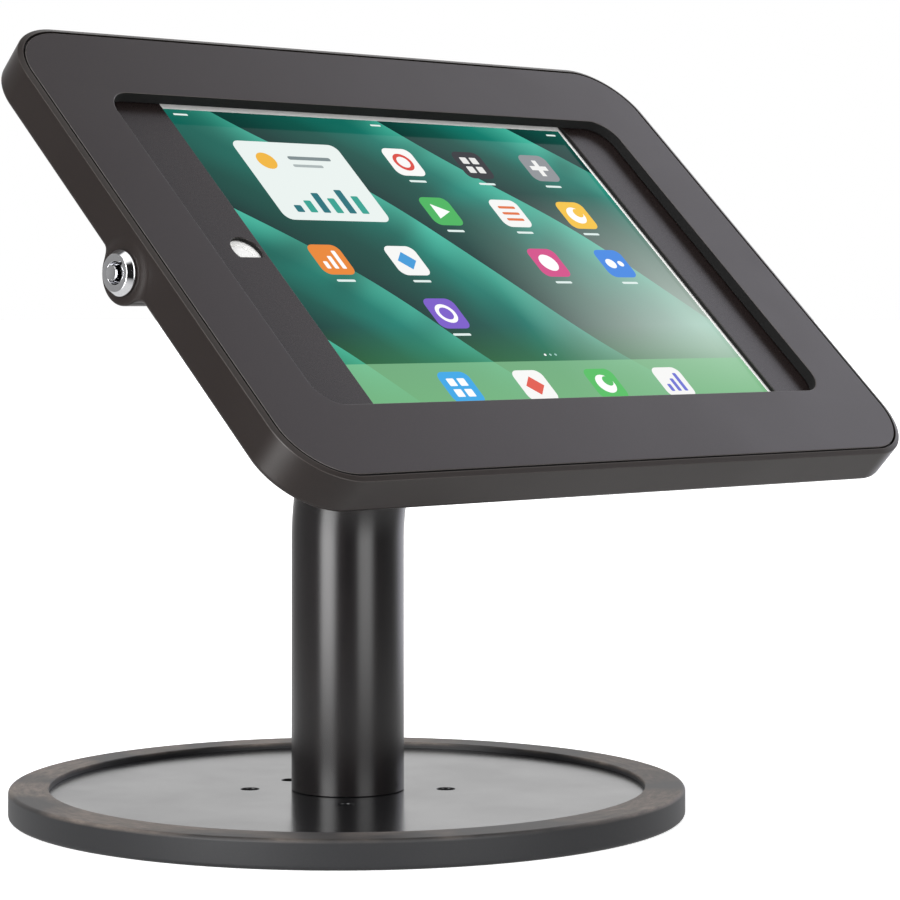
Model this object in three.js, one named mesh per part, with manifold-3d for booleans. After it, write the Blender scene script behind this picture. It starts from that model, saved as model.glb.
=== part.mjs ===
// Tablet countertop stand: a weighted round base, a bent post, a swivelling head and a locked
// enclosure that holds a tablet. Millimetres, +Z up, origin at the centre of the base's underside.
import * as THREE from "three";
import { mergeVertices } from "three/addons/utils/BufferGeometryUtils.js";
import Module from "manifold-3d";

const wasm = await Module();
wasm.setup();

// Shared fits
const clear = 0.3; // gap between pieces that touch
const running = 0.4; // gap round a piece that turns or slides
const overrun = 1; // how far a cutting body passes the face that it cuts
const weld_lap = 0.2; // how far fused bodies run into each other

// Base
const base_radius = 121.5;
const ring_height = 10.3;
const ring_width = 14.4;
const ring_edge_round = 1.2;
const plate_top = 8;
const plate_thickness = 6;
const plate_edge_cover = 7; // how far the ring laps over the plate's edge
const pad_edge_gap = 0.8;
const bolt_spacing = 50; // square of holes for screwing the stand down
const bolt_hole_radius = 3.3;
const rear_hole_distance = 10.3; // from the post to the centre of the hole behind it

// Post
const post_radius = 20.3;
const post_wall = 2;
const post_bend_radius = 85;
const foot_plate_thickness = 6;
const foot_screw_inset = 6; // from the post's bore to the foot screws' circle
const foot_screw_count = 3;
const foot_screw_radius = 2.5;
const foot_screw_head_radius = 5;
const foot_screw_head_height = 2.8;
const foot_screw_tip_gap = 1.2;
const outlet_height = 36; // cable outlet above the base, at the rear of the post
const outlet_radius = 7;
const grommet_wall = 1.2;
const grommet_flange_width = 2;
const grommet_flange_thickness = 1.4;

// Head placement: centre of the front cover, and the slope of the cover
const head_forward = 67.3;
const head_height = 202.6;
const head_tilt_deg = 43.5;

// Tablet
const tablet_half_width = 120;
const tablet_half_height = 84.75;
const tablet_thickness = 6.1;
const tablet_corner_radius = 10.5;
const tablet_shift = 3; // the tablet's centre, to the right of the window's
const tablet_wall = 0.9;
const tablet_back_round = 2.2;
const glass_thickness = 0.9;
const display_end_border = 21.45; // from the display to the tablet's edge, at each short edge
const display_side_border = 10.85; // the same, at each long edge
const display_thickness = 1;
const home_button_radius = 5.45;
const home_button_from_edge = 10.7;
const home_button_height = 1.9;
const home_travel = 0.3;
const side_button_length = 10;
const side_button_width = 2.2;
const side_button_height = 1.7;
const side_button_stand = 0.4;
const power_button_from_corner = 20.75;
const volume_button_from_corner = 64;
const volume_button_pitch = 14;
const corner_pad_length = 30;
const corner_pad_width = 20;
const corner_pad_thickness = 0.5;
const corner_pad_inset = 13; // from the tablet's edges

// Enclosure tray
const window_side_gap = 3.8; // how much wider the window is than the tablet, at each end
const window_display_cover = 0.5; // how much of the display each long side of the window hides
const end_border = 27.7; // from the window to the outside of the tray, left and right
const long_border = 32.1; // the same, above and below
const tray_corner_radius = 24.3;
const rim_width = 1.9;
const rim_slope = 0.6; // how far the rim band falls back towards its outer edge
const tray_back_round = 2;
const tray_side_wall = 2.5;
const tray_floor = 1.2;
const ledge_width = 3.4;
const ledge_thickness = 2;
const cable_hole_margin = 4.5; // the tray's hole is wider than the spindle's bore

// Front cover
const cover_gap = 0.8; // the groove between the cover and the rim
const cover_thickness = 2;
const window_corner_radius = 10;
const lip_thickness = 1.5;
const lip_depth = 4; // how deep the window's edge is, from the cover's face
const hook_reach = 0.9; // how far a hook goes into the tray's right wall
const hook_width = 12;
const hook_length = 4.3;
const hook_depth = 2.2;
const hook_room = 0.8; // below a hook in its slot
const hook_place = 55;

// Adapters that fit the window to the tablet
const adapter_thickness = 1.7;
const adapter_left_margin = 1.8; // from the left adapter's edge to the display
const adapter_right_margin = 0.9;
const adapter_under_cover = 3.2; // how far an adapter runs under the window's edge
const adapter_screw_margin = 5; // from its screws to its upper and lower edges
const adapter_leg = 1.5;
const adapter_corner_radius = 3;
const rib_half_height = 48;
const button_hole_radius = 6;
const button_hole_right = 1.6; // the hole's centre from the button's
const button_hole_up = 1.4;
const button_hole_flat = 3.4; // from the hole's centre down to its straight side
const screw_post_radius = 3.5;
const screw_post_gap = 2.75; // from the tablet's long edge to a screw post
const screw_post_inset = 11.8; // from the window's end to a screw post
const adapter_screw_radius = 1.4;
const adapter_screw_head_radius = 2.7;
const adapter_screw_head_height = 1.3;

// Swivel between the post and the tray
const hub_plate_margin = 8; // beyond its screws
const hub_plate_thickness = 5.4;
const hub_plate_round = 1.2;
const hub_screw_from_pin = 8;
const hub_screw_radius = 2;
const hub_screw_head_radius = 3.8;
const hub_screw_angles_deg = [45, 135, 225, 315];
const spindle_flange_width = 5.5;
const spindle_flange_thickness = 2;
const spindle_wall = 3;
const washer_edge_gap = 1;
const washer_thickness = 1;
const neck_flange_margin = 6; // beyond the stop pin's circle
const neck_flange_thickness = 5.4;
const swivel_nut_gap = 1; // between the nut and the post's bore
const swivel_nut_wall = 3.5;
const swivel_nut_thickness = 4;
const swivel_nut_notch = 3;
const swivel_nut_notches = 4;
const stop_pin_radius = 2;
const stop_pin_from_post = 6;
const stop_pin_start_deg = 225;
const swivel_range_deg = 90;

// Key lock in the tray's left wall
const lock_axis_depth = 13.8; // behind the cover's face
const boss_radius = 10.4;
const boss_blend = 5;
const boss_wall = 1.6;
const boss_end_gap = 2.4;
const boss_fade_length = 12;
const pad_height = 0.8;
const pad_radius = 8.2;
const pad_flare_radius = 12.6;
const collar_radius = 7.45;
const collar_band = 0.6;
const collar_face_radius = 6;
const collar_height = 2.6;
const keyway_radius = 3.7;
const keyway_depth = 6;
const key_notch_width = 1.5;
const key_notch_reach = 1.2;
const key_notch_deg = 180;
const barrel_radius = 6;
const plug_pin_radius = 2.5;
const plug_pin_stand = 1.5; // how far the plug's pin stands out of the lock's face
const plug_radius = 3.4;
const plug_tail_radius = 2;
const lock_nut_thickness = 3;
const lock_nut_flat = 7.25; // half the width across its flats
const nut_sides = 6;
const cam_thickness = 2;
const cam_hub_radius = 4.6;
const cam_tip_gap = 0.6; // between the cam and the cover as it swings past
const cam_finger = 1.65;
const cam_span_deg = 60;
const cam_start_deg = 15;
const cam_web_deg = 16;
const striker_radius = 1.25;
const striker_angle_deg = 130;
const striker_bracket_wall = 1.5;
const striker_web_half_width = 3.5;
const striker_foot_length = 7;
const striker_foot_half_width = 7;
const striker_lip_gap = 1.1; // between the striker's foot and the window's lip
const cam_screw_head_radius = 3;
const cam_screw_head_height = 2;
const cam_screw_radius = 1.2;
const cam_screw_depth = 5;

// Facets: how many sides a round form has
const disc_facets = 64;
const tube_facets = 36;
const bore_facets = 24;
const spindle_facets = 28;
const hole_facets = 12;
const screw_facets = 12;
const corner_facets = 7;
const small_corner_facets = 3;
const bend_steps = 7;
const round_steps = 3;
const blend_steps = 4;

// Worked-out sizes
const rad = THREE.MathUtils.degToRad;
const tilt = rad(head_tilt_deg);
const ring_inner_radius = base_radius - ring_width;
const plate_bottom = plate_top - plate_thickness;
const plate_radius = ring_inner_radius + plate_edge_cover;
const post_inner_radius = post_radius - post_wall;
const post_foot = plate_top + clear;
const foot_screw_circle = post_inner_radius - foot_screw_inset;
const grommet_flange_radius = outlet_radius + grommet_flange_width;
const grommet_bore_radius = outlet_radius - clear - grommet_wall;

const display_half_width = tablet_half_width - display_end_border;
const display_half_height = tablet_half_height - display_side_border;
const window_half_width = tablet_half_width + window_side_gap;
const window_half_height = display_half_height - window_display_cover;
const tray_half_width = window_half_width + end_border;
const tray_half_height = window_half_height + long_border;
const opening_half_width = tray_half_width - rim_width;
const opening_half_height = tray_half_height - rim_width;
const opening_corner_radius = tray_corner_radius - rim_width;
const cover_half_width = opening_half_width - cover_gap;
const cover_half_height = opening_half_height - cover_gap;
const cover_corner_radius = opening_corner_radius - cover_gap;
const ledge_top = -cover_thickness - clear;
const ledge_bottom = ledge_top - ledge_thickness;
const adapter_top = -lip_depth - clear;
const adapter_bottom = adapter_top - adapter_thickness;
const adapter_left_edge = tablet_shift - display_half_width - adapter_left_margin;
const adapter_right_edge = tablet_shift + display_half_width + adapter_right_margin;
const glass_top = adapter_bottom - clear;
const glass_bottom = glass_top - glass_thickness;
const tablet_back = glass_top - tablet_thickness;
const pad_top = tablet_back - clear;
const pad_bottom = pad_top - corner_pad_thickness;
const floor_top = pad_bottom - clear;
const tray_back = floor_top - tray_floor;
const button_center = tablet_shift - tablet_half_width + home_button_from_edge;
const screw_post_side = window_half_width - screw_post_inset;
const screw_post_up = tablet_half_height + screw_post_gap + screw_post_radius;
const adapter_half_height = screw_post_up + adapter_screw_margin;

const hub_top = tray_back - clear;
const hub_bottom = hub_top - hub_plate_thickness;
const washer_top = hub_bottom - clear;
const washer_bottom = washer_top - washer_thickness;
const neck_top = washer_bottom - clear;
const neck_bottom = neck_top - neck_flange_thickness;
const post_end = neck_bottom - clear;
const nut_top = neck_bottom - clear;
const nut_bottom = nut_top - swivel_nut_thickness;
const stop_pin_circle = post_radius + stop_pin_from_post;
const washer_radius = stop_pin_circle - stop_pin_radius - washer_edge_gap;
const neck_flange_radius = stop_pin_circle + neck_flange_margin;
const hub_screw_circle = stop_pin_circle + hub_screw_from_pin;
const hub_plate_radius = hub_screw_circle + hub_plate_margin;
const swivel_nut_radius = post_inner_radius - swivel_nut_gap;
const spindle_radius = swivel_nut_radius - swivel_nut_wall;
const spindle_bore_radius = spindle_radius - spindle_wall;
const spindle_flange_radius = spindle_radius + spindle_flange_width;
const cable_hole_radius = spindle_bore_radius + cable_hole_margin;

const lock_axis = -lock_axis_depth;
const lock_wall_inside = -tray_half_width + tray_side_wall;
const pad_face = -tray_half_width - pad_height;
const collar_base = pad_face - clear;
const collar_face = collar_base - collar_height;
const striker_foot_right = -window_half_width - lip_thickness - striker_lip_gap;
const striker_left = striker_foot_right - striker_foot_length;
const cam_right = striker_left - clear;
const cam_left = cam_right - cam_thickness;
const barrel_end = cam_left - clear;
const boss_pocket_end = cam_right + clear + cam_screw_head_height + boss_end_gap;
const cam_reach = lock_axis_depth - cover_thickness - cam_tip_gap;
const cam_slot_half = striker_radius + running;
const cam_slot_circle = cam_reach - cam_finger - cam_slot_half;

// Solids and meshes

// A closed body that others can be fused with or cut from.
function solid(geometry) {
  const bare = geometry.clone();
  bare.deleteAttribute("normal");
  bare.deleteAttribute("uv");
  const joined = mergeVertices(bare);
  return new wasm.Manifold(
    new wasm.Mesh({
      numProp: 3,
      vertProperties: new Float32Array(joined.attributes.position.array),
      triVerts: new Uint32Array(joined.index.array),
    }),
  );
}

function geometryOf(body) {
  const mesh = body.getMesh();
  const geometry = new THREE.BufferGeometry();
  geometry.setAttribute("position", new THREE.BufferAttribute(mesh.vertProperties, 3));
  geometry.setIndex(new THREE.BufferAttribute(mesh.triVerts, 1));
  return geometry;
}

function fuse(...geometries) {
  return geometries.map(solid).reduce((whole, next) => whole.add(next));
}

function cut(body, ...geometries) {
  return geometries.map(solid).reduce((whole, next) => whole.subtract(next), body);
}

// A piece of the object: a named mesh with its own material.
function piece(name, shape, finish) {
  const geometry = shape.isBufferGeometry ? shape : geometryOf(shape);
  const mesh = new THREE.Mesh(geometry, new THREE.MeshStandardMaterial(finish));
  mesh.name = name;
  return mesh;
}

// Basic forms

// A plate with its lower face at the height low and its upper face at high.
function slab(shape, low, high) {
  const geometry = new THREE.ExtrudeGeometry(shape, { depth: high - low, bevelEnabled: false });
  return geometry.translate(0, 0, low);
}

function roundedRectangle(half_width, half_height, radius, facets = corner_facets, x = 0) {
  const points = [];
  const corners = [[1, 1], [-1, 1], [-1, -1], [1, -1]];
  corners.forEach(([side, end], corner) => {
    for (let i = 0; i <= facets; i += 1) {
      const angle = ((corner + i / facets) * Math.PI) / 2;
      const point = new THREE.Vector2(
        x + side * (half_width - radius) + radius * Math.cos(angle),
        end * (half_height - radius) + radius * Math.sin(angle),
      );
      const repeated = [points[0], points[points.length - 1]].some(
        (other) => other && other.distanceTo(point) < weld_lap / 2,
      );
      if (!repeated) points.push(point);
    }
  });
  return new THREE.Shape(points);
}

function rectangle(left, right, bottom, top) {
  return new THREE.Shape([
    new THREE.Vector2(left, bottom),
    new THREE.Vector2(right, bottom),
    new THREE.Vector2(right, top),
    new THREE.Vector2(left, top),
  ]);
}

function polygon(radius, sides, x = 0, y = 0) {
  const points = Array.from({ length: sides }, (_, i) => {
    const angle = (i * Math.PI * 2) / sides;
    return new THREE.Vector2(x + radius * Math.cos(angle), y + radius * Math.sin(angle));
  });
  return new THREE.Shape(points);
}

// A body turned about the Z axis from [radius, height] points that run upwards on the outside.
// A profile that stays off the axis closes on itself.
function turned(profile, facets) {
  const points = profile.map(([radius, height]) => new THREE.Vector2(radius, height));
  const on_axis = profile[0][0] === 0 && profile[profile.length - 1][0] === 0;
  if (!on_axis) points.push(points[0].clone());
  return new THREE.LatheGeometry(points, facets).rotateX(Math.PI / 2);
}

function rod(radius, low, high, facets = screw_facets) {
  return turned([[0, low], [radius, low], [radius, high], [0, high]], facets);
}

function tube(inner, outer, low, high, facets = tube_facets) {
  return turned([[inner, low], [outer, low], [outer, high], [inner, high]], facets);
}

// Lays an upright form along +X.
function alongX(geometry) {
  return geometry.rotateY(Math.PI / 2);
}

// Turns a plate so that its x points up the cover, its y out of it and its z to the right.
function sideways(geometry) {
  const turn = new THREE.Matrix4().makeBasis(
    new THREE.Vector3(0, 1, 0),
    new THREE.Vector3(0, 0, 1),
    new THREE.Vector3(1, 0, 0),
  );
  return geometry.applyMatrix4(turn);
}

// A closed skin through rings of points, each ring with the same number of points.
function skin(rings) {
  const count = rings[0].length;
  const positions = rings.flat().flatMap((point) => [point.x, point.y, point.z]);
  const index = [];
  for (let ring = 0; ring + 1 < rings.length; ring += 1) {
    for (let i = 0; i < count; i += 1) {
      const a = ring * count + i;
      const b = ring * count + ((i + 1) % count);
      index.push(a, b, b + count, a, b + count, a + count);
    }
  }
  const last = (rings.length - 1) * count;
  const flat = (ring) => {
    const normal = new THREE.Vector3();
    const next = new THREE.Vector3();
    ring.forEach((point, i) => normal.add(next.crossVectors(point, ring[(i + 1) % count])));
    normal.normalize();
    const across = ring[1].clone().sub(ring[0]).normalize();
    const up = normal.clone().cross(across);
    return ring.map((point) => new THREE.Vector2(point.dot(across), point.dot(up)));
  };
  THREE.ShapeUtils.triangulateShape(flat(rings[0]), []).forEach(([a, b, c]) => index.push(a, c, b));
  THREE.ShapeUtils.triangulateShape(flat(rings[rings.length - 1]), []).forEach(([a, b, c]) => {
    index.push(last + a, last + b, last + c);
  });
  const geometry = new THREE.BufferGeometry();
  geometry.setAttribute("position", new THREE.Float32BufferAttribute(positions, 3));
  geometry.setIndex(index);
  return geometry;
}

// A body with rounded-rectangle sections: each level is [half width, half height, radius, z].
function stacked(levels, facets = corner_facets) {
  const rings = levels.map(([half_width, half_height, radius, z]) =>
    roundedRectangle(half_width, half_height, radius, facets)
      .getPoints()
      .map((point) => new THREE.Vector3(point.x, point.y, z)),
  );
  return skin(rings);
}

// Finishes
const satin_black = { color: 0x38373a, roughness: 0.5, metalness: 0.3 };
const black_steel = { color: 0x2b2a2c, roughness: 0.4, metalness: 0.4 };
const rubber_black = { color: 0x3d3b3c, roughness: 0.85, metalness: 0 };
const foam_grey = { color: 0x2c2c2e, roughness: 0.95, metalness: 0 };
const plastic_black = { color: 0x4a484a, roughness: 0.6, metalness: 0 };
const zinc = { color: 0xa9abb0, roughness: 0.35, metalness: 0.9 };
const bright_chrome = { color: 0xd6d6d8, roughness: 0.1, metalness: 1 };
const anodised = { color: 0xc9cacc, roughness: 0.35, metalness: 0.8 };
const white_glass = { color: 0xf2f2f0, roughness: 0.1, metalness: 0 };
const screen_dark = { color: 0x17604f, roughness: 0.15, metalness: 0 };
const white_plastic = { color: 0xeeeeec, roughness: 0.3, metalness: 0 };
const cell_grey = { color: 0x3a3d42, roughness: 0.7, metalness: 0 };
const nylon = { color: 0xe4e1d8, roughness: 0.5, metalness: 0 };

// The base

function boltPlaces() {
  const half = bolt_spacing / 2;
  return [[half, half], [-half, half], [-half, -half], [half, -half]];
}

function footScrewPlaces() {
  return Array.from({ length: foot_screw_count }, (_, i) => {
    const angle = Math.PI / 2 + (i * Math.PI * 2) / foot_screw_count;
    return [foot_screw_circle * Math.cos(angle), foot_screw_circle * Math.sin(angle)];
  });
}

// The plate's and the pad's holes: four for bolting the stand down, and one behind the post.
function baseHoles() {
  const places = [...boltPlaces(), [0, post_radius + rear_hole_distance]];
  return places.map(([x, y]) => polygon(bolt_hole_radius, hole_facets, x, y));
}

function basePlate() {
  const outline = polygon(plate_radius, disc_facets);
  outline.holes.push(...baseHoles());
  const disc = solid(slab(outline, plate_bottom, plate_top));
  return cut(disc, ...footScrewPlaces().map(countersink));
}

// The hole that a foot screw passes through, wider at its lower end for the screw's head.
function countersink([x, y]) {
  const hole = foot_screw_radius + clear;
  const mouth = foot_screw_head_radius + clear;
  const profile = [
    [0, plate_bottom - overrun],
    [mouth, plate_bottom - overrun],
    [mouth, plate_bottom],
    [hole, plate_bottom + foot_screw_head_height],
    [hole, plate_top + overrun],
    [0, plate_top + overrun],
  ];
  return turned(profile, hole_facets).translate(x, y, 0);
}

// The rubber ring grips the plate's edge above and below.
function baseRing() {
  const lip_low = plate_top + clear;
  const foot_high = plate_bottom - clear;
  const seat = plate_radius + clear;
  const edge = ring_edge_round;
  const rounded = (z, from) =>
    Array.from({ length: round_steps }, (_, i) => {
      const angle = from + (i * Math.PI) / 2 / (round_steps - 1);
      return [base_radius - edge + edge * Math.cos(angle), z + edge * Math.sin(angle)];
    });
  const profile = [
    [ring_inner_radius, 0],
    ...rounded(edge, -Math.PI / 2),
    ...rounded(ring_height - edge, 0),
    [ring_inner_radius, ring_height],
    [ring_inner_radius, lip_low],
    [seat, lip_low],
    [seat, foot_high],
    [ring_inner_radius, foot_high],
  ];
  return turned(profile, disc_facets);
}

function basePad() {
  const outline = polygon(ring_inner_radius - pad_edge_gap, disc_facets);
  outline.holes.push(...baseHoles());
  return slab(outline, 0, plate_bottom - clear);
}

// The post

// Rings of a round section along the post: upright, bent forwards, then straight to the head.
function postRings(radius, low_overrun, high_overrun, facets) {
  const across = new THREE.Vector2(-Math.sin(tilt), Math.cos(tilt));
  const end = new THREE.Vector2(-head_forward, head_height).addScaledVector(across, post_end);
  const bend_out = post_bend_radius * (1 - Math.cos(tilt));
  const stub = (-end.x - bend_out) / Math.sin(tilt);
  const bend_low = end.y - post_bend_radius * Math.sin(tilt) - stub * Math.cos(tilt);
  const stations = [[0, post_foot - low_overrun, 0]];
  for (let i = 0; i <= bend_steps; i += 1) {
    const lean = (tilt * i) / bend_steps;
    const y = -post_bend_radius * (1 - Math.cos(lean));
    stations.push([y, bend_low + post_bend_radius * Math.sin(lean), lean]);
  }
  end.addScaledVector(across, high_overrun);
  stations.push([end.x, end.y, tilt]);
  return stations.map(([y, z, lean]) =>
    Array.from({ length: facets }, (_, i) => {
      const angle = (i * Math.PI * 2) / facets;
      const side = radius * Math.sin(angle);
      return new THREE.Vector3(
        radius * Math.cos(angle),
        y + side * Math.cos(lean),
        z + side * Math.sin(lean),
      );
    }),
  );
}

// A round body that runs backwards from the post's axis at the height of the cable outlet.
function outletRod(radius, length) {
  return rod(radius, 0, length, bore_facets)
    .rotateX(-Math.PI / 2)
    .translate(0, 0, outlet_height);
}

function postTube() {
  const outside = solid(skin(postRings(post_radius, 0, 0, tube_facets)));
  const bore = skin(postRings(post_inner_radius, overrun, overrun, bore_facets));
  return cut(outside, bore, outletRod(outlet_radius, post_radius + overrun));
}

function footPlate() {
  const outline = polygon(post_inner_radius - clear, bore_facets);
  const hole = foot_screw_radius + clear;
  outline.holes.push(...footScrewPlaces().map(([x, y]) => polygon(hole, hole_facets, x, y)));
  return slab(outline, post_foot, post_foot + foot_plate_thickness);
}

function footScrew([x, y]) {
  const low = plate_bottom + clear;
  const tip = post_foot + foot_plate_thickness - foot_screw_tip_gap;
  const profile = [
    [0, low],
    [foot_screw_head_radius, low],
    [foot_screw_radius, low + foot_screw_head_height],
    [foot_screw_radius, tip],
    [0, tip],
  ];
  return turned(profile, screw_facets).translate(x, y, 0);
}

// A rubber bush lines the cable outlet. Its two flanges follow the curve of the post's wall.
function cableGrommet() {
  const low = outlet_height - grommet_flange_radius - overrun;
  const high = outlet_height + grommet_flange_radius + overrun;
  const outside = post_radius + clear;
  const inside = post_inner_radius - clear;
  const length = outside + grommet_flange_thickness + overrun;
  const band = (from, to, radius) =>
    solid(tube(from, to, low, high)).intersect(solid(outletRod(radius, length)));
  const outer = band(outside, outside + grommet_flange_thickness, grommet_flange_radius);
  const inner = band(inside - grommet_flange_thickness, inside, grommet_flange_radius);
  const neck = band(inside - weld_lap, outside + weld_lap, outlet_radius - clear);
  return cut(outer.add(inner).add(neck), outletRod(grommet_bore_radius, length));
}

// The swivel, in the head's own frame: z is 0 on the cover's face, and falls towards the post

function neckFlange() {
  const disc = solid(tube(spindle_radius + clear, neck_flange_radius, neck_bottom, neck_top));
  return cut(disc, slab(stopSlot(), neck_bottom - overrun, neck_top + overrun));
}

// The arc-shaped slot that limits how far the stop pin, and so the head, can turn.
function stopSlot() {
  const half = stop_pin_radius + running;
  const start = rad(stop_pin_start_deg);
  const range = rad(swivel_range_deg);
  const points = [];
  const arc = (x, y, radius, from, span) => {
    for (let i = 0; i <= hole_facets; i += 1) {
      const angle = from + (span * i) / hole_facets;
      points.push(new THREE.Vector2(x + radius * Math.cos(angle), y + radius * Math.sin(angle)));
    }
  };
  const end = start + range;
  arc(0, 0, stop_pin_circle + half, start, range);
  arc(stop_pin_circle * Math.cos(end), stop_pin_circle * Math.sin(end), half, end, Math.PI);
  arc(0, 0, stop_pin_circle - half, end, -range);
  arc(...stopPinPlace(), half, start + Math.PI, Math.PI);
  return new THREE.Shape(points.filter((point, i) => i === 0 || !point.equals(points[i - 1])));
}

function stopPinPlace() {
  const angle = rad(stop_pin_start_deg);
  return [stop_pin_circle * Math.cos(angle), stop_pin_circle * Math.sin(angle)];
}

function hubScrewPlaces() {
  return hub_screw_angles_deg.map((angle) => [
    hub_screw_circle * Math.cos(rad(angle)),
    hub_screw_circle * Math.sin(rad(angle)),
  ]);
}

function hubPlate() {
  const edge = hub_plate_round;
  const seat = hub_top - spindle_flange_thickness - clear;
  const profile = [
    [spindle_radius + clear, hub_bottom],
    [hub_plate_radius - edge, hub_bottom],
    [hub_plate_radius, hub_bottom + edge],
    [hub_plate_radius, hub_top],
    [spindle_flange_radius + clear, hub_top],
    [spindle_flange_radius + clear, seat],
    [spindle_radius + clear, seat],
  ];
  const hole = (radius, [x, y]) =>
    rod(radius + clear, hub_bottom - overrun, hub_top + overrun, hole_facets).translate(x, y, 0);
  const holes = hubScrewPlaces().map((place) => hole(hub_screw_radius, place));
  holes.push(hole(stop_pin_radius, stopPinPlace()));
  return cut(solid(turned(profile, tube_facets)), ...holes);
}

function stopPin() {
  const [x, y] = stopPinPlace();
  return rod(stop_pin_radius, neck_bottom + clear, hub_top - clear).translate(x, y, 0);
}

function swivelWasher() {
  return tube(spindle_radius + clear, washer_radius, washer_bottom, washer_top, spindle_facets);
}

// The hollow spindle lets a cable pass from the post into the tray.
function swivelSpindle() {
  const shoulder = hub_top - spindle_flange_thickness;
  const profile = [
    [spindle_bore_radius, nut_bottom],
    [spindle_radius, nut_bottom],
    [spindle_radius, shoulder],
    [spindle_flange_radius, shoulder],
    [spindle_flange_radius, hub_top],
    [spindle_bore_radius, hub_top],
  ];
  return turned(profile, spindle_facets);
}

function swivelNut() {
  const inner = spindle_radius + clear;
  const ring = solid(tube(inner, swivel_nut_radius, nut_bottom, nut_top, spindle_facets));
  const half = swivel_nut_notch / 2;
  const across = rectangle(swivel_nut_radius - half, swivel_nut_radius + overrun, -half, half);
  const notches = Array.from({ length: swivel_nut_notches }, (_, i) =>
    slab(across, nut_bottom - overrun, nut_bottom + half).rotateZ(
      (i * Math.PI * 2) / swivel_nut_notches,
    ),
  );
  return cut(ring, ...notches);
}

function hubScrew([x, y]) {
  const profile = [
    [0, hub_bottom],
    [hub_screw_radius, hub_bottom],
    [hub_screw_radius, tray_back],
    [hub_screw_head_radius, floor_top - clear],
    [0, floor_top - clear],
  ];
  return turned(profile, screw_facets).translate(x, y, 0);
}

function hubScrewHole([x, y]) {
  const hole = hub_screw_radius + clear;
  const mouth = hub_screw_head_radius + clear;
  const profile = [
    [0, tray_back - overrun],
    [hole, tray_back - overrun],
    [hole, tray_back],
    [mouth, floor_top - clear],
    [mouth, floor_top + overrun],
    [0, floor_top + overrun],
  ];
  return turned(profile, hole_facets).translate(x, y, 0);
}

// The enclosure

// Levels of a rounded-rectangle body with a rounded lower edge, open at its top.
function roundedLevels(half_width, half_height, radius, low, round, upper) {
  const levels = Array.from({ length: round_steps + 1 }, (_, i) => {
    const angle = (i * Math.PI) / 2 / round_steps;
    return [round * (1 - Math.sin(angle)), low + round * (1 - Math.cos(angle))];
  });
  return [...levels, ...upper].map(([inset, z]) => [
    half_width - inset,
    half_height - inset,
    radius - inset,
    z,
  ]);
}

// Half the outline of the lock's boss behind the tray's back: a hollow blend, then a round crown.
function bossOutline(depth_share) {
  const drop = lock_axis - tray_back + boss_blend;
  const spread = Math.sqrt((boss_radius + boss_blend) ** 2 - drop ** 2);
  const lean = Math.atan2(drop, spread);
  const blend_turn = Math.PI / 2 - lean;
  const blend = Array.from({ length: blend_steps + 1 }, (_, i) => {
    const angle = (blend_turn * i) / blend_steps;
    return [spread - boss_blend * Math.sin(angle), -boss_blend * (1 - Math.cos(angle))];
  });
  const crown = Array.from({ length: blend_steps }, (_, i) => {
    const angle = -lean + ((Math.PI / 2 + lean) * (i + 1)) / blend_steps;
    const z = lock_axis - boss_radius * Math.sin(angle) - tray_back;
    return [boss_radius * Math.cos(angle), z];
  });
  return [...blend, ...crown].map(([y, z]) => [y, tray_back + z * depth_share]);
}

function bossRing(x, depth_share) {
  const half = bossOutline(depth_share);
  const roof = tray_back + tray_back_round;
  const side = half[0][0];
  const points = [
    [-side, roof],
    ...half.map(([y, z]) => [-y, z]),
    ...half.slice(0, -1).reverse(),
    [side, roof],
  ];
  return points.map(([y, z]) => new THREE.Vector3(x, y, z));
}

// The boss runs inwards from the left wall and fades into the tray's back.
function lockBoss() {
  const full_end = boss_pocket_end + boss_wall;
  const rings = [bossRing(-tray_half_width, 1), bossRing(full_end, 1)];
  for (let i = 1; i <= blend_steps; i += 1) {
    const share = i / blend_steps;
    const depth_share = (1 + Math.cos(Math.PI * share)) / 2;
    rings.push(bossRing(full_end + boss_fade_length * share, depth_share));
  }
  rings.pop();
  const low_share = weld_lap / boss_radius;
  rings.push(bossRing(full_end + boss_fade_length, low_share));
  return skin(rings);
}

// The low pad round the lock flares smoothly into the left wall.
function lockPad() {
  const steps = blend_steps + 1;
  const flare = Array.from({ length: steps + 1 }, (_, i) => {
    const share = i / steps;
    return [
      pad_flare_radius + (pad_radius - pad_flare_radius) * share,
      (pad_height * (1 - Math.cos(Math.PI * share))) / 2,
    ];
  });
  const profile = [[0, -overrun], [pad_flare_radius, -overrun], ...flare, [0, pad_height]];
  const pad = turned(profile, spindle_facets)
    .rotateY(-Math.PI / 2)
    .translate(-tray_half_width, 0, lock_axis);
  const half = bossOutline(1);
  const side = half[0][0];
  const outline = [
    [-side, 0],
    ...half.map(([y, z]) => [-y, z]),
    ...half.slice(0, -1).reverse(),
    [side, 0],
  ];
  const shape = new THREE.Shape(outline.map(([y, z]) => new THREE.Vector2(y, z)));
  const keep = sideways(slab(shape, pad_face - overrun, lock_wall_inside));
  return solid(pad).intersect(solid(keep));
}

function adapterScrewPlaces() {
  const corners = [[-1, -1], [-1, 1], [1, -1], [1, 1]];
  return corners.map(([side, end]) => [side * screw_post_side, end * screw_post_up]);
}

// The room inside the tray: the cover's seat, the throat inside its ledge, and the space below.
function trayRoom() {
  const level = (inset, z) => [
    tray_half_width - inset,
    tray_half_height - inset,
    tray_corner_radius - inset,
    z,
  ];
  const throat = rim_width + ledge_width;
  return [
    stacked([level(rim_width, ledge_top), level(rim_width, overrun)]),
    stacked([level(throat, ledge_bottom - weld_lap), level(throat, ledge_top + weld_lap)]),
    stacked([level(tray_side_wall, floor_top), level(tray_side_wall, ledge_bottom)]),
  ];
}

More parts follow.
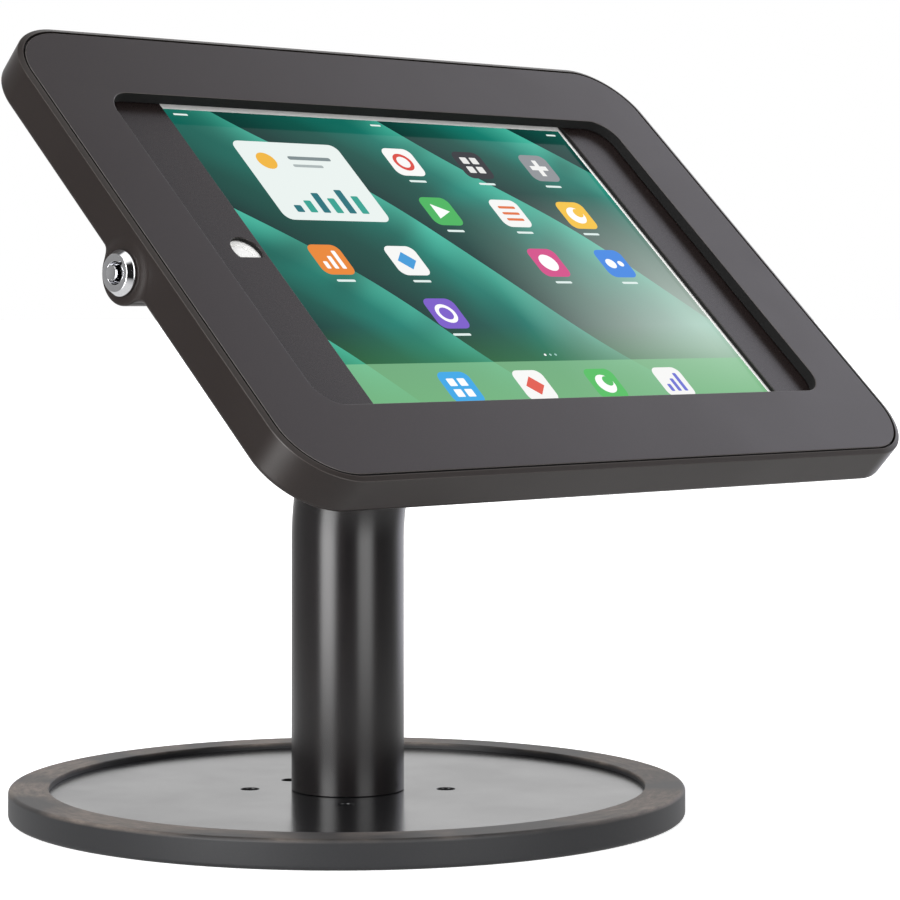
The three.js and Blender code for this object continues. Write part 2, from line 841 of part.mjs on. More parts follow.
function lockRoom() {
  const pocket_radius = boss_radius - boss_wall;
  const pocket = rod(pocket_radius, lock_wall_inside, boss_pocket_end, bore_facets);
  const hole = rod(barrel_radius + clear, pad_face - overrun, lock_wall_inside + overrun, bore_facets);
  return [pocket, hole].map((form) => alongX(form).translate(0, 0, lock_axis));
}

// The slot that a cover hook goes into, through the ledge and into the right wall.
function hookSlot(y) {
  const half = hook_width / 2 + running;
  const left = cover_half_width - hook_length - running;
  const right = opening_half_width + hook_reach + clear;
  const low = -cover_thickness - hook_depth - hook_room;
  return slab(rectangle(left, right, y - half, y + half), low, -cover_thickness + clear);
}

function screwPost([x, y]) {
  const outline = polygon(screw_post_radius, screw_facets, x, y);
  outline.holes.push(polygon(adapter_screw_radius + clear, hole_facets, x, y));
  return slab(outline, floor_top - weld_lap, adapter_bottom - clear);
}

function backTray() {
  const upper = [[0, -rim_slope], [rim_width, 0]];
  const levels = roundedLevels(
    tray_half_width,
    tray_half_height,
    tray_corner_radius,
    tray_back,
    tray_back_round,
    upper,
  );
  const shell = solid(stacked(levels)).add(solid(lockBoss())).add(lockPad());
  const cable_hole = rod(cable_hole_radius, tray_back - overrun, floor_top + overrun, spindle_facets);
  const open = cut(
    shell,
    ...trayRoom(),
    ...lockRoom(),
    ...[-1, 1].map((side) => hookSlot(side * hook_place)),
    ...hubScrewPlaces().map(hubScrewHole),
    cable_hole,
  );
  return adapterScrewPlaces().reduce((tray, place) => tray.add(solid(screwPost(place))), open);
}

function frontCover() {
  const outline = roundedRectangle(cover_half_width, cover_half_height, cover_corner_radius);
  const window = roundedRectangle(window_half_width, window_half_height, window_corner_radius);
  outline.holes.push(window);
  const lip = roundedRectangle(
    window_half_width + lip_thickness,
    window_half_height + lip_thickness,
    window_corner_radius + lip_thickness,
  );
  lip.holes.push(window);
  const plate = slab(outline, -cover_thickness, 0);
  const edge = slab(lip, -lip_depth, -cover_thickness + weld_lap);
  const hooks = [-1, 1].map((side) => coverHook(side * hook_place));
  return fuse(plate, edge, ...hooks.flat());
}

// A hook stands under the cover's right edge and reaches into the tray's wall.
function coverHook(y) {
  const half = hook_width / 2;
  const left = cover_half_width - hook_length;
  const low = -cover_thickness - hook_depth;
  const foot = rectangle(left, opening_half_width + hook_reach, y - half, y + half);
  const stem = rectangle(left, cover_half_width, y - half, y + half);
  return [
    slab(foot, low, -cover_thickness - clear),
    slab(stem, low, -cover_thickness + weld_lap),
  ];
}

// An adapter stands on the tray's floor, lies on the tablet's border and stops its short edge.
function adapter(side) {
  const inner = side < 0 ? adapter_left_edge : adapter_right_edge;
  const outer = side * (window_half_width + adapter_under_cover);
  const half = Math.abs(outer - inner) / 2;
  const middle = (inner + outer) / 2;
  const outline = roundedRectangle(
    half,
    adapter_half_height,
    adapter_corner_radius,
    small_corner_facets,
    middle,
  );
  const hole = adapter_screw_radius + clear;
  const places = adapterScrewPlaces().filter(([x]) => x * side > 0);
  outline.holes.push(...places.map(([x, y]) => polygon(hole, hole_facets, x, y)));
  if (side < 0) outline.holes.push(buttonHole());
  const rib_near = tablet_shift + side * (tablet_half_width + clear);
  const walls = [
    [outer, outer - side * adapter_leg, adapter_half_height - adapter_corner_radius],
    [rib_near, rib_near + side * adapter_leg, rib_half_height],
  ];
  const feet = walls.map(([from, to, half_length]) => {
    const shape = rectangle(Math.min(from, to), Math.max(from, to), -half_length, half_length);
    return slab(shape, floor_top + clear, adapter_bottom + weld_lap);
  });
  return fuse(slab(outline, adapter_bottom, adapter_top), ...feet);
}

// A round hole over the tablet's button, with a straight lower side.
function buttonHole() {
  const dip = Math.asin(button_hole_flat / button_hole_radius);
  const turn = Math.PI + dip + dip;
  const points = Array.from({ length: bore_facets + 1 }, (_, i) => {
    const angle = -dip + (turn * i) / bore_facets;
    return new THREE.Vector2(
      button_center + button_hole_right + button_hole_radius * Math.cos(angle),
      button_hole_up + button_hole_radius * Math.sin(angle),
    );
  });
  return new THREE.Shape(points);
}

function adapterScrew([x, y]) {
  const seat = adapter_top + clear;
  const top = seat + adapter_screw_head_height;
  const profile = [
    [0, floor_top + clear],
    [adapter_screw_radius, floor_top + clear],
    [adapter_screw_radius, seat],
    [adapter_screw_head_radius, seat],
    [adapter_screw_head_radius, top - clear],
    [adapter_screw_head_radius - clear, top],
    [0, top],
  ];
  return turned(profile, screw_facets).translate(x, y, 0);
}

function cornerPadPlaces() {
  const across = tablet_half_width - corner_pad_inset - corner_pad_length / 2;
  const up = tablet_half_height - corner_pad_inset - corner_pad_width / 2;
  const corners = [[1, 1], [-1, 1], [-1, -1], [1, -1]];
  return corners.map(([side, end]) => [tablet_shift + side * across, end * up]);
}

function cornerPad([x, y]) {
  const half_length = corner_pad_length / 2;
  const half_width = corner_pad_width / 2;
  const outline = rectangle(x - half_length, x + half_length, y - half_width, y + half_width);
  return slab(outline, pad_bottom, pad_top);
}

// The tablet, in its own frame: x is 0 at its own centre, and its button is on the left

function tabletOutline(inset) {
  return [tablet_half_width - inset, tablet_half_height - inset, tablet_corner_radius - inset];
}

function tabletShell() {
  const levels = roundedLevels(
    ...tabletOutline(0),
    tablet_back,
    tablet_back_round,
    [[0, glass_top - weld_lap]],
  );
  const room = tabletOutline(tablet_wall);
  const inside = stacked([[...room, tablet_back + tablet_wall], [...room, glass_top + overrun]]);
  const keys = sideButtonPlaces().map((place) => sideButton(place, running));
  return cut(solid(stacked(levels)), inside, ...keys);
}

function buttonX() {
  return -tablet_half_width + home_button_from_edge;
}

function tabletGlass() {
  const outline = roundedRectangle(...tabletOutline(tablet_wall + clear));
  outline.holes.push(polygon(home_button_radius + clear, bore_facets, buttonX()));
  return slab(outline, glass_bottom, glass_top);
}

function displayPanel() {
  const [right, top] = [display_half_width, display_half_height];
  const high = glass_bottom - clear;
  return slab(rectangle(-right, right, -top, top), high - display_thickness, high);
}

// The cells and boards fill the shell behind the display and the glass.
function tabletCore() {
  const outline = roundedRectangle(...tabletOutline(tablet_wall + side_button_height + running));
  const top = glass_bottom - clear - display_thickness - clear;
  const body = solid(slab(outline, tablet_back + tablet_wall + clear, top));
  const well_bottom = glass_top - home_button_height - home_travel - running;
  const well = rod(home_button_radius + running, well_bottom, top + overrun, bore_facets);
  return cut(body, well.translate(buttonX(), 0, 0));
}

function homeButton() {
  return rod(home_button_radius, glass_top - home_button_height, glass_top, bore_facets).translate(
    buttonX(),
    0,
    0,
  );
}

// Where the tablet's side buttons are, and which way each one faces.
function sideButtonPlaces() {
  const near = tablet_half_width - volume_button_from_corner;
  const up = [near - volume_button_pitch, -tablet_half_height, -Math.PI / 2];
  const down = [near, -tablet_half_height, -Math.PI / 2];
  return [[tablet_half_width, power_button_from_corner - tablet_half_height, 0], up, down];
}

function sideButton([x, y, facing], grow = 0) {
  const half_width = side_button_width / 2 + grow;
  const half_length = side_button_length / 2 + grow;
  const outline = roundedRectangle(half_length, half_width, half_width, small_corner_facets);
  const low = side_button_stand - side_button_height - grow;
  return slab(outline, low, side_button_stand + grow)
    .rotateX(Math.PI / 2)
    .rotateZ(Math.PI / 2 + facing)
    .translate(x, y, (glass_bottom + tablet_back) / 2);
}

// The key lock, turned about an axis that runs along +X through the middle of the left wall

function lockHousing() {
  const profile = [
    [keyway_radius, collar_face],
    [collar_face_radius, collar_face],
    [collar_radius, collar_base - collar_band],
    [collar_radius, collar_base],
    [barrel_radius, collar_base],
    [barrel_radius, barrel_end],
    [keyway_radius, barrel_end],
  ];
  const half = key_notch_width / 2;
  const notch = rectangle(0, keyway_radius + key_notch_reach, -half, half);
  const cutter = slab(notch, collar_face - overrun, collar_face + keyway_depth);
  const body = solid(alongX(turned(profile, spindle_facets)));
  return cut(body, alongX(cutter.rotateZ(rad(key_notch_deg))));
}

function lockNut() {
  const outline = polygon(lock_nut_flat / Math.cos(Math.PI / nut_sides), nut_sides);
  outline.holes.push(polygon(barrel_radius + clear, bore_facets));
  const low = lock_wall_inside + clear;
  return alongX(slab(outline, low, low + lock_nut_thickness));
}

function lockPlug() {
  const shoulder = collar_face + keyway_depth;
  const tail = cam_right - clear;
  const tip = collar_face - plug_pin_stand;
  const profile = [
    [0, tip],
    [plug_pin_radius, tip],
    [plug_pin_radius, shoulder],
    [plug_radius, shoulder],
    [plug_radius, barrel_end],
    [plug_tail_radius, barrel_end],
    [plug_tail_radius, tail],
    [cam_screw_radius + clear, tail],
    [cam_screw_radius + clear, tail - cam_screw_depth],
    [0, tail - cam_screw_depth],
  ];
  return alongX(turned(profile, hole_facets));
}

// The cam is a hook: its arc-shaped slot swings over the striker pin as the plug turns.
function lockCam() {
  const start = rad(cam_start_deg);
  const stop = start + rad(cam_span_deg);
  const web = start + rad(cam_web_deg);
  const points = [];
  const arc = (x, y, radius, from, to) => {
    for (let i = 0; i <= hole_facets; i += 1) {
      const angle = from + ((to - from) * i) / hole_facets;
      points.push(new THREE.Vector2(x + radius * Math.cos(angle), y + radius * Math.sin(angle)));
    }
  };
  const web_x = cam_slot_circle * Math.cos(web);
  const web_y = cam_slot_circle * Math.sin(web);
  arc(0, 0, cam_reach, start, stop);
  arc(0, 0, cam_slot_circle + cam_slot_half, stop, web);
  arc(web_x, web_y, cam_slot_half, web, web - Math.PI);
  arc(0, 0, cam_slot_circle - cam_slot_half, web, stop);
  arc(0, 0, cam_hub_radius, stop, start + Math.PI * 2);
  const apart = points.filter((point, i) => i === 0 || point.distanceTo(points[i - 1]) > weld_lap / 2);
  const outline = new THREE.Shape(apart);
  outline.holes.push(polygon(plug_tail_radius + clear, hole_facets));
  return sideways(slab(outline, 0, cam_thickness)).translate(cam_left, 0, 0);
}

function camScrew() {
  const seat = cam_right + clear;
  const tip = cam_right - cam_screw_depth;
  const profile = [
    [0, tip],
    [cam_screw_radius, tip],
    [cam_screw_radius, seat],
    [cam_screw_head_radius, seat],
    [cam_screw_head_radius, seat + cam_screw_head_height],
    [0, seat + cam_screw_head_height],
  ];
  return alongX(turned(profile, screw_facets));
}

// The striker is a pin under the cover that the cam's hook takes hold of.
function strikerPlace() {
  const angle = rad(striker_angle_deg);
  return [cam_slot_circle * Math.cos(angle), lock_axis + cam_slot_circle * Math.sin(angle)];
}

function strikerPin() {
  const [y, z] = strikerPlace();
  const pin = rod(striker_radius, cam_left - clear, striker_left + striker_bracket_wall);
  return alongX(pin).translate(0, y, z);
}

function strikerBracket() {
  const [y, z] = strikerPlace();
  const web_right = striker_left + striker_bracket_wall;
  const top = -cover_thickness - clear;
  const web_low = z - striker_radius - striker_bracket_wall;
  const web_half = striker_web_half_width;
  const foot_half = striker_foot_half_width;
  const web = rectangle(striker_left, web_right, y - web_half, y + web_half);
  const foot = rectangle(striker_left, striker_foot_right, y - foot_half, y + foot_half);
  const body = fuse(slab(web, web_low, top), slab(foot, top - striker_bracket_wall, top));
  const hole = rod(striker_radius + clear, striker_left - overrun, web_right + overrun, hole_facets);
  return cut(body, alongX(hole).translate(0, y, z));
}

// The assembly
const model = new THREE.Group();
const base = new THREE.Group();
base.add(
  piece("base_ring", baseRing(), rubber_black),
  piece("base_plate", basePlate(), satin_black),
  piece("base_pad", basePad(), foam_grey),
  piece("post_tube", postTube(), black_steel),
  piece("post_foot_plate", footPlate(), zinc),
  piece("cable_grommet", cableGrommet(), rubber_black),
);
footScrewPlaces().forEach((place, i) => {
  base.add(piece(`foot_screw_${i + 1}`, footScrew(place), zinc));
});

const head = new THREE.Group();
head.position.set(0, -head_forward, head_height);
head.rotation.x = tilt;
head.add(
  piece("neck_flange", neckFlange(), black_steel),
  piece("swivel_washer", swivelWasher(), nylon),
  piece("hub_plate", hubPlate(), black_steel),
  piece("stop_pin", stopPin(), zinc),
  piece("swivel_spindle", swivelSpindle(), zinc),
  piece("swivel_nut", swivelNut(), zinc),
  piece("back_tray", backTray(), satin_black),
  piece("front_cover", frontCover(), satin_black),
  piece("left_adapter", adapter(-1), plastic_black),
  piece("right_adapter", adapter(1), plastic_black),
  piece("striker_bracket", strikerBracket(), zinc),
  piece("striker_pin", strikerPin(), zinc),
);
hubScrewPlaces().forEach((place, i) => {
  head.add(piece(`hub_screw_${i + 1}`, hubScrew(place), zinc));
});
adapterScrewPlaces().forEach((place, i) => {
  head.add(piece(`adapter_screw_${i + 1}`, adapterScrew(place), zinc));
});
cornerPadPlaces().forEach((place, i) => {
  head.add(piece(`corner_pad_${i + 1}`, cornerPad(place), foam_grey));
});

const tablet = new THREE.Group();
tablet.position.x = tablet_shift;
tablet.add(
  piece("tablet_shell", tabletShell(), anodised),
  piece("tablet_core", tabletCore(), cell_grey),
  piece("display_panel", displayPanel(), screen_dark),
  piece("tablet_glass", tabletGlass(), white_glass),
  piece("home_button", homeButton(), white_plastic),
);
["power_button", "volume_up_button", "volume_down_button"].forEach((name, i) => {
  tablet.add(piece(name, sideButton(sideButtonPlaces()[i]), anodised));
});

const lock = new THREE.Group();
lock.position.z = lock_axis;
lock.add(
  piece("lock_housing", lockHousing(), bright_chrome),
  piece("lock_nut", lockNut(), zinc),
  piece("lock_plug", lockPlug(), bright_chrome),
  piece("lock_cam", lockCam(), zinc),
  piece("cam_screw", camScrew(), zinc),
);

head.add(tablet, lock);
model.add(base, head);
export default model;
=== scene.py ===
import math

import bmesh
import bpy
from mathutils import Matrix, Vector
from mathutils.geometry import delaunay_2d_cdt, tessellate_polygon


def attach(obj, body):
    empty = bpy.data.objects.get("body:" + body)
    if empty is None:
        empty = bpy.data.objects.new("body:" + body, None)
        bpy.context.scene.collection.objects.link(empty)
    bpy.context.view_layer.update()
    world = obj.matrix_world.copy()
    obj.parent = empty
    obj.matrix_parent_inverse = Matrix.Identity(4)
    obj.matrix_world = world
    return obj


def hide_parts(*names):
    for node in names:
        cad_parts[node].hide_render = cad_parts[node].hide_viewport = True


bl_info = {
    "name": "Tablet countertop stand",
    "version": (1, 0, 0),
    "blender": (4, 5, 0),
    "location": "3D View > Sidebar > Stand",
    "description": "Dresses a locked tablet enclosure on a bent post and a weighted round base",
    "category": "Object",
}

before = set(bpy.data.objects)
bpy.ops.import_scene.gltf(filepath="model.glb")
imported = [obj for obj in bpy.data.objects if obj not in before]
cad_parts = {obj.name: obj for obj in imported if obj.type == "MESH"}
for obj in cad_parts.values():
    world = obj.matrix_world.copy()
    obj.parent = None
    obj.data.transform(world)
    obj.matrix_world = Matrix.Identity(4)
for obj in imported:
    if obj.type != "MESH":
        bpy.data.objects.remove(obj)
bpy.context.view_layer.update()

MM = 0.001
TURN = math.tau
QUARTER = math.pi / 2

# Sizes of the solids, in millimetres. CLEAR is the gap between two pieces, OVERLAP how far a
# fused part reaches into its body, and PAST how far a cutter runs out of it.
CLEAR = 0.3
OVERLAP = 0.2
PAST = 1.0
BASE_RADIUS = 121.5
RING_HEIGHT = 10.3
RING_LIP_GAP = 0.05
RING_LIP_ROUND = 0.5
RING_INNER = 107.1
RING_ROUND = 1.5
PLATE_TOP = 8.0
PLATE_BOTTOM = 2.0
PLATE_RADIUS = 114.1
PLATE_EDGE = 0.45
PAD_GAP = 0.8
BOLT_HALF = 25.0
BOLT_HOLE = 3.3
REAR_HOLE = 30.6
POST_RADIUS = 20.3
POST_BORE = 18.3
POST_BEND = 85.0
FOOT = PLATE_TOP + CLEAR
FOOT_SCREW_CIRCLE = 12.3
OUTLET_HEIGHT = 36.0
OUTLET_RADIUS = 7.0
OUTLET_DRILL = 40.0
GROMMET_BORE = 5.5
GROMMET_FLANGE = 9.0
GROMMET_THICKNESS = 1.4
GROMMET_ROUND = 0.5
HEAD_FORWARD = 67.3
HEAD_HEIGHT = 202.6
HEAD_TILT = math.radians(43.5)
TRAY_HALF_WIDTH = 151.5
TRAY_HALF_HEIGHT = 105.5
TRAY_CORNER = 24.3
TRAY_BACK = -14.7
TRAY_BACK_ROUND = 2.0
TRAY_WALL = 2.5
FLOOR_TOP = -13.5
RIM_WIDTH = 1.9
RIM_SLOPE = 0.6
RIM_ROUND = 0.35
LEDGE_WIDTH = 3.4
LEDGE_TOP = -2.3
LEDGE_BOTTOM = -4.3
COVER_THICKNESS = 2.0
COVER_HALF_WIDTH = 148.8
COVER_HALF_HEIGHT = 102.8
COVER_CORNER = 21.6
COVER_EDGE = 0.3
WINDOW_HALF_WIDTH = 123.8
WINDOW_HALF_HEIGHT = 73.4
WINDOW_CORNER = 10.0
WINDOW_EDGE = 0.4
LIP_THICKNESS = 1.5
LIP_DEPTH = 4.0
LIP_EDGE = 0.15
HOOK_PLACE = 55.0
HOOK_WIDTH = 12.0
HOOK_LENGTH = 4.3
HOOK_DEPTH = 2.2
HOOK_RIGHT = 150.5
HOOK_GAP = 0.4
HOOK_ROOM = 0.8
ADAPTER_TOP = -4.3
ADAPTER_BOTTOM = -6.0
ADAPTER_LEFT_EDGE = -97.35
ADAPTER_RIGHT_EDGE = 102.45
ADAPTER_OUTER = 127.0
ADAPTER_HALF_HEIGHT = 96.0
ADAPTER_CORNER = 3.0
ADAPTER_EDGE = 0.25
ADAPTER_LEG = 1.5
RIB_HALF_HEIGHT = 48.0
SCREW_POST_SIDE = 112.0
SCREW_POST_UP = 91.0
SCREW_POST_RADIUS = 3.5
SCREW_POST_BORE = 1.7
BUTTON_X = -106.3
BUTTON_HOLE_X = -104.7
BUTTON_HOLE_Y = 1.4
BUTTON_HOLE_RADIUS = 6.0
BUTTON_HOLE_FLAT = 3.4
TABLET_SHIFT = 3.0
TABLET_HALF_WIDTH = 120.0
TABLET_HALF_HEIGHT = 84.75
TABLET_CORNER = 10.5
TABLET_WALL = 0.9
TABLET_BACK = -12.4
TABLET_BACK_ROUND = 2.2
GLASS_TOP = -6.3
GLASS_BOTTOM = -7.2
GLASS_EDGE = 0.25
GLASS_HOLE_EDGE = 0.12
DISPLAY_HALF_WIDTH = 98.55
DISPLAY_HALF_HEIGHT = 73.9
BUTTON_RADIUS = 5.45
BUTTON_HEIGHT = 1.9
BUTTON_DISH = 0.12
# The tablet's side keys: (x, y, facing) of each, and half length, half width, stand, depth
SIDE_KEYS = {
    "power": (TABLET_HALF_WIDTH, -64.0, 0.0),
    "volume_up": (42.0, -TABLET_HALF_HEIGHT, -QUARTER),
    "volume_down": (56.0, -TABLET_HALF_HEIGHT, -QUARTER),
}
KEY_HALF_LENGTH = 5.0
KEY_HALF_WIDTH = 1.1
KEY_STAND = 0.4
KEY_DEPTH = 1.7
KEY_GAP = 0.4
HUB_TOP = -15.0
HUB_BOTTOM = -20.4
HUB_EDGE = 0.9
HUB_RECESS = 2.3
WASHER_BOTTOM = -21.7
WASHER_THICKNESS = 1.0
WASHER_EDGE = 0.2
NECK_TOP = -22.0
NECK_BOTTOM = -27.4
POST_END = -27.7
NUT_BOTTOM = -31.7
HUB_RADIUS = 42.3
NECK_RADIUS = 32.3
WASHER_RADIUS = 23.3
NUT_RADIUS = 17.3
NUT_NOTCH = (15.5, 18.5, -1.5, 1.5)
NUT_NOTCH_DEPTH = 1.5
NUT_EDGE = 0.4
SPINDLE_RADIUS = 13.8
SPINDLE_BORE = 10.8
SPINDLE_FLANGE = 19.3
SPINDLE_FLANGE_DEPTH = 2.0
HUB_SCREW_CIRCLE = 34.3
HUB_SCREW_HOLE = 2.3
HUB_SCREW_HEAD_HOLE = 4.1
PIN_CIRCLE = 26.3
PIN_RADIUS = 2.0
PIN_ANGLE = math.radians(225)
PIN_GAP = 0.4
CABLE_HOLE = 15.3
LOCK_AXIS = -13.8
LOCK_WALL_INSIDE = -149.0
LOCK_WALL_OUTSIDE = -153.3
BOSS_RADIUS = 10.4
BOSS_BLEND = 5.0
BOSS_EDGE = 0.5
BOSS_SINK = 0.05
BOSS_WALL = 1.6
BOSS_POCKET_END = -129.0
BOSS_FADE = 12.0
PAD_HEIGHT = 0.8
PAD_RADIUS = 8.2
PAD_FLARE = 12.6
PAD_RINGS = 12
PAD_SPACING = 0.25
COLLAR_BASE = -152.6
COLLAR_FACE = -155.2
COLLAR_RADIUS = 7.45
COLLAR_FACE_RADIUS = 6.0
COLLAR_BAND = 0.6
COLLAR_ROUND = 0.25
KEYWAY_RADIUS = 3.7
KEYWAY_DEPTH = 6.0
BARREL_RADIUS = 6.0
BARREL_END = -136.0
PLUG_PIN = 2.5
PLUG_STAND = 1.5
PLUG_RADIUS = 3.4
TAIL_RADIUS = 2.0
TAIL_THREAD = 1.5
TAIL_THREAD_START = -134.0
TAIL_END = -139.0
NOTCH_REACH = 1.2
NOTCH_WIDTH = 1.5

# Screws: length, shank radius, head radius, head height
FOOT_SCREW = (10.8, 2.5, 5.0, 2.8)
HUB_SCREW = (6.6, 2.0, 3.8, 1.1)
ADAPTER_SCREW = (10.5, 1.4, 2.7, 1.3)

# Fineness of the meshes: points closer than MERGE are one, and SHARP edges stay hard
MERGE = 0.0005
SHARP = math.radians(32)

# Painted light that follows edges: bands of height over the cover's face, in millimetres
# The tray's: a painted highlight on the rim band, and brighter painted highlight lines at its
# crease and inner edge
TRAY_PAINTED_HIGHLIGHTS = [("26211f", [(-0.8, 0.02)]), ("3a3533", [(-0.85, -0.6), (-0.07, 0.02)])]
# The cover's: a painted highlight along its rounded front edges, and painted shade, near black,
# down its side and window walls
COVER_PAINTED_LIGHT_AND_SHADE = [("5a5553", [(-0.13, -0.03)]), ("030303", [(-4.2, -0.13)])]
COVER_DULL = [(-4.2, -0.13)]
# The adapters' low walls: rougher, and with painted shade, near black
ADAPTER_DULL_AND_SHADED = [(-6.2, -4.7)]
# Painted light: the glass's white border glows with this share of the picture's brightness,
# standing in for light falling on it
BORDER_PAINTED_GLOW = 0.2
# The picture: tiles of one size in columns and rows, and a dock along its lower side
TILE = 14.6
TILE_ROUND = 3.3
TILE_STEP = 35.3
TILE_ROWS = (51.5, 25.5, -0.5, -26.5)
FIRST_COLUMN = 28.0
DOCK_HEIGHT = 24.0
DOCK_START = -54.0

# The studio: brightness round the stand, as shares of a turn that starts and ends on the
# camera's side and passes the left, the back and the right
VIEW_ALONG = (0.7107, 0.7035, 0.0)
VIEW_ACROSS = (0.7035, -0.7107, 0.0)
STUDIO_LEVELS = [
    (0.0, 0.01), (0.07, 0.02), (0.14, 0.08), (0.21, 0.27), (0.3, 0.36), (0.37, 0.38),
    (0.42, 0.6), (0.47, 0.98), (0.5, 1.12), (0.54, 1.26), (0.6, 1.48), (0.64, 1.48),
    (0.67, 0.75), (0.71, 0.3), (0.76, 0.2), (0.86, 0.06), (0.94, 0.02), (1.0, 0.01),
]
SOFTBOX_LEVELS = [
    (0.0, 0.0), (0.055, 0.0), (0.08, 1.0), (0.138, 1.0), (0.16, 0.0),
    (0.84, 0.0), (0.866, 0.47), (0.925, 0.47), (0.947, 0.0), (1.0, 0.0),
]
SOFTBOX_LEVEL = 9.4
SOFTBOX_LOW = (0.1, 0.3)
SOFTBOX_UPPER = 0.75
SOFTBOX_TOP = (0.78, 0.92)
# Levels over COOL_FROM are bluer by the factor COOL
COOL = 1.1
COOL_FROM = 1.3
CEILING_LEVEL = 0.12
CEILING_FROM = (0.58, 0.84)
TOP_LIGHT = (-0.3, -0.12, 0.946)
TOP_LEVEL = 1.4
TOP_SPREAD = (0.8, 0.91)
NEAR_FLOOR = 0.75
NEAR_REACH = (0.3, 0.65)
FLOOR_REACH = 30.0
KEY_PLACE = (-0.25, -1.25, 1.45)
KEY_AIM = (0, -0.03, 0.12)
KEY_SIZE = 1.3
CAMERA_PLACE = (-0.7803, -0.8245, 0.1822)
CAMERA_HEADING = math.radians(45.285)
CAMERA_SHIFT = -143.75 / 900

SCALE = Matrix.Scale(MM, 4)
HEAD_PLACE = Matrix.Translation((0, -HEAD_FORWARD * MM, HEAD_HEIGHT * MM))
HEAD = HEAD_PLACE @ Matrix.Rotation(HEAD_TILT, 4, "X")
ON_HEAD = HEAD @ SCALE
ON_TABLET = ON_HEAD @ Matrix.Translation((TABLET_SHIFT, 0, 0))
ON_LOCK = ON_HEAD @ Matrix.Translation((0, 0, LOCK_AXIS)) @ Matrix.Rotation(QUARTER, 4, "Y")


# Meshes


class Form:
    """Points and faces of one closed body, in millimetres, built from loops of points."""

    def __init__(self):
        self.points, self.faces = [], []

    def ring(self, points):
        start = len(self.points)
        self.points += [tuple(point) for point in points]
        return list(range(start, len(self.points)))

    def wall(self, low, high):
        self.faces += zip(low, low[1:] + low[:1], high[1:] + high[:1], high)

    def stack(self, sections, inwards=False):
        """Walls through loops of points that have the same count."""
        rings = [self.ring(section) for section in sections]
        for pair in zip(rings, rings[1:]):
            self.wall(*(reversed(pair) if inwards else pair))
        return rings

    def cap(self, loops, upwards):
        """A flat face between loops that lie at one height: an outline, then its holes."""
        polygons = [[Vector(self.points[i]) for i in loop] for loop in loops]
        order = [i for loop in loops for i in loop]
        for triangle in tessellate_polygon(polygons):
            a, b, c = (order[i] for i in triangle)
            pa, pb, pc = (Vector(self.points[i]) for i in (a, b, c))
            rises = (pb - pa).cross(pc - pa).z > 0
            self.faces.append((a, b, c) if rises == upwards else (a, c, b))

    def fan(self, loop, centre, reverse=False):
        middle = self.ring([centre])[0]
        for a, b in zip(loop, loop[1:] + loop[:1]):
            self.faces.append((a, middle, b) if reverse else (a, b, middle))

    def moved(self, x, y):
        self.points = [(px + x, py + y, z) for px, py, z in self.points]
        return self


def arc(x, y, radius, start, span, steps):
    turns = [start + span * i / steps for i in range(steps + 1)]
    return [(x + radius * math.cos(turn), y + radius * math.sin(turn)) for turn in turns]


def circle(radius, steps=48, x=0.0, y=0.0):
    """A circle as a function of how far it is drawn in."""
    return lambda inset=0.0: arc(x, y, radius - inset, 0, TURN * (steps - 1) / steps, steps - 1)


def opening(outline):
    """An outline as a hole's: it grows where the body draws in."""
    return lambda inset: outline(-inset)


def hole(radius, steps, x=0.0, y=0.0):
    return opening(circle(radius, steps, x, y))


def rounded(half_width, half_height, radius, steps=16, x=0.0, y=0.0):
    """A rounded rectangle as a function of how far it is drawn in."""

    def outline(inset=0.0):
        points = []
        for corner, (side, end) in enumerate([(1, 1), (-1, 1), (-1, -1), (1, -1)]):
            centre = (x + side * (half_width - radius), y + end * (half_height - radius))
            points += arc(*centre, radius - inset, corner * QUARTER, QUARTER, steps)
        return points

    return outline


def rectangle(left, right, low, high):
    return [(left, low), (right, low), (right, high), (left, high)]


def at_height(points, z):
    return [(x, y, z) for x, y in points]


def drawn(outline, levels):
    """Loops of an outline, one for each (inset, height) level."""
    return [at_height(outline(inset), z) for inset, z in levels]


def edge_levels(low, high, low_edge, high_edge, steps=3):
    """Insets and heights up the side of a plate whose edges are rounded over."""
    turns = [(1 - math.sin(turn), 1 - math.cos(turn)) for turn in
             (QUARTER * i / steps for i in range(steps + 1))]
    lower = [(low_edge * far, low + low_edge * near) for far, near in turns]
    return lower + [(high_edge * near, high - high_edge * far) for far, near in turns]


def plate(outline, holes, low, high, edge=0.3, low_edge=None, steps=3):
    """A flat plate with rounded edges round its outline and its holes."""
    form = Form()
    levels = edge_levels(low, high, edge if low_edge is None else low_edge, edge, steps)
    walls = [form.stack(drawn(outline, levels))]
    walls += [form.stack(drawn(shape, levels), inwards=True) for shape in holes]
    form.cap([rings[0] for rings in walls], False)
    form.cap([rings[-1] for rings in walls], True)
    return form


def solid(sections):
    """A closed body through level loops of points, flat at both ends."""
    form = Form()
    rings = form.stack(sections)
    form.cap([rings[0]], False)
    form.cap([rings[-1]], True)
    return form


def block(outline, low, high):
    return solid([at_height(outline, low), at_height(outline, high)])


def turned(profile, steps=64):
    """A body turned about Z from (radius, height) points that run upwards on its outside."""
    form = Form()
    rings = [
        form.ring(at_height(circle(radius, steps)(), z)) if radius else None
        for radius, z in profile
    ]
    for i, (lower, upper) in enumerate(zip(rings, rings[1:] + rings[:1])):
        if lower and upper:
            form.wall(lower, upper)
        elif upper:
            form.fan(upper, (0, 0, profile[i][1]), reverse=True)
        elif lower:
            form.fan(lower, (0, 0, profile[i + 1][1]))
    return form


def rod(radius, low, high, x=0.0, y=0.0, steps=32):
    return turned(rectangle(0, radius, low, high), steps).moved(x, y)


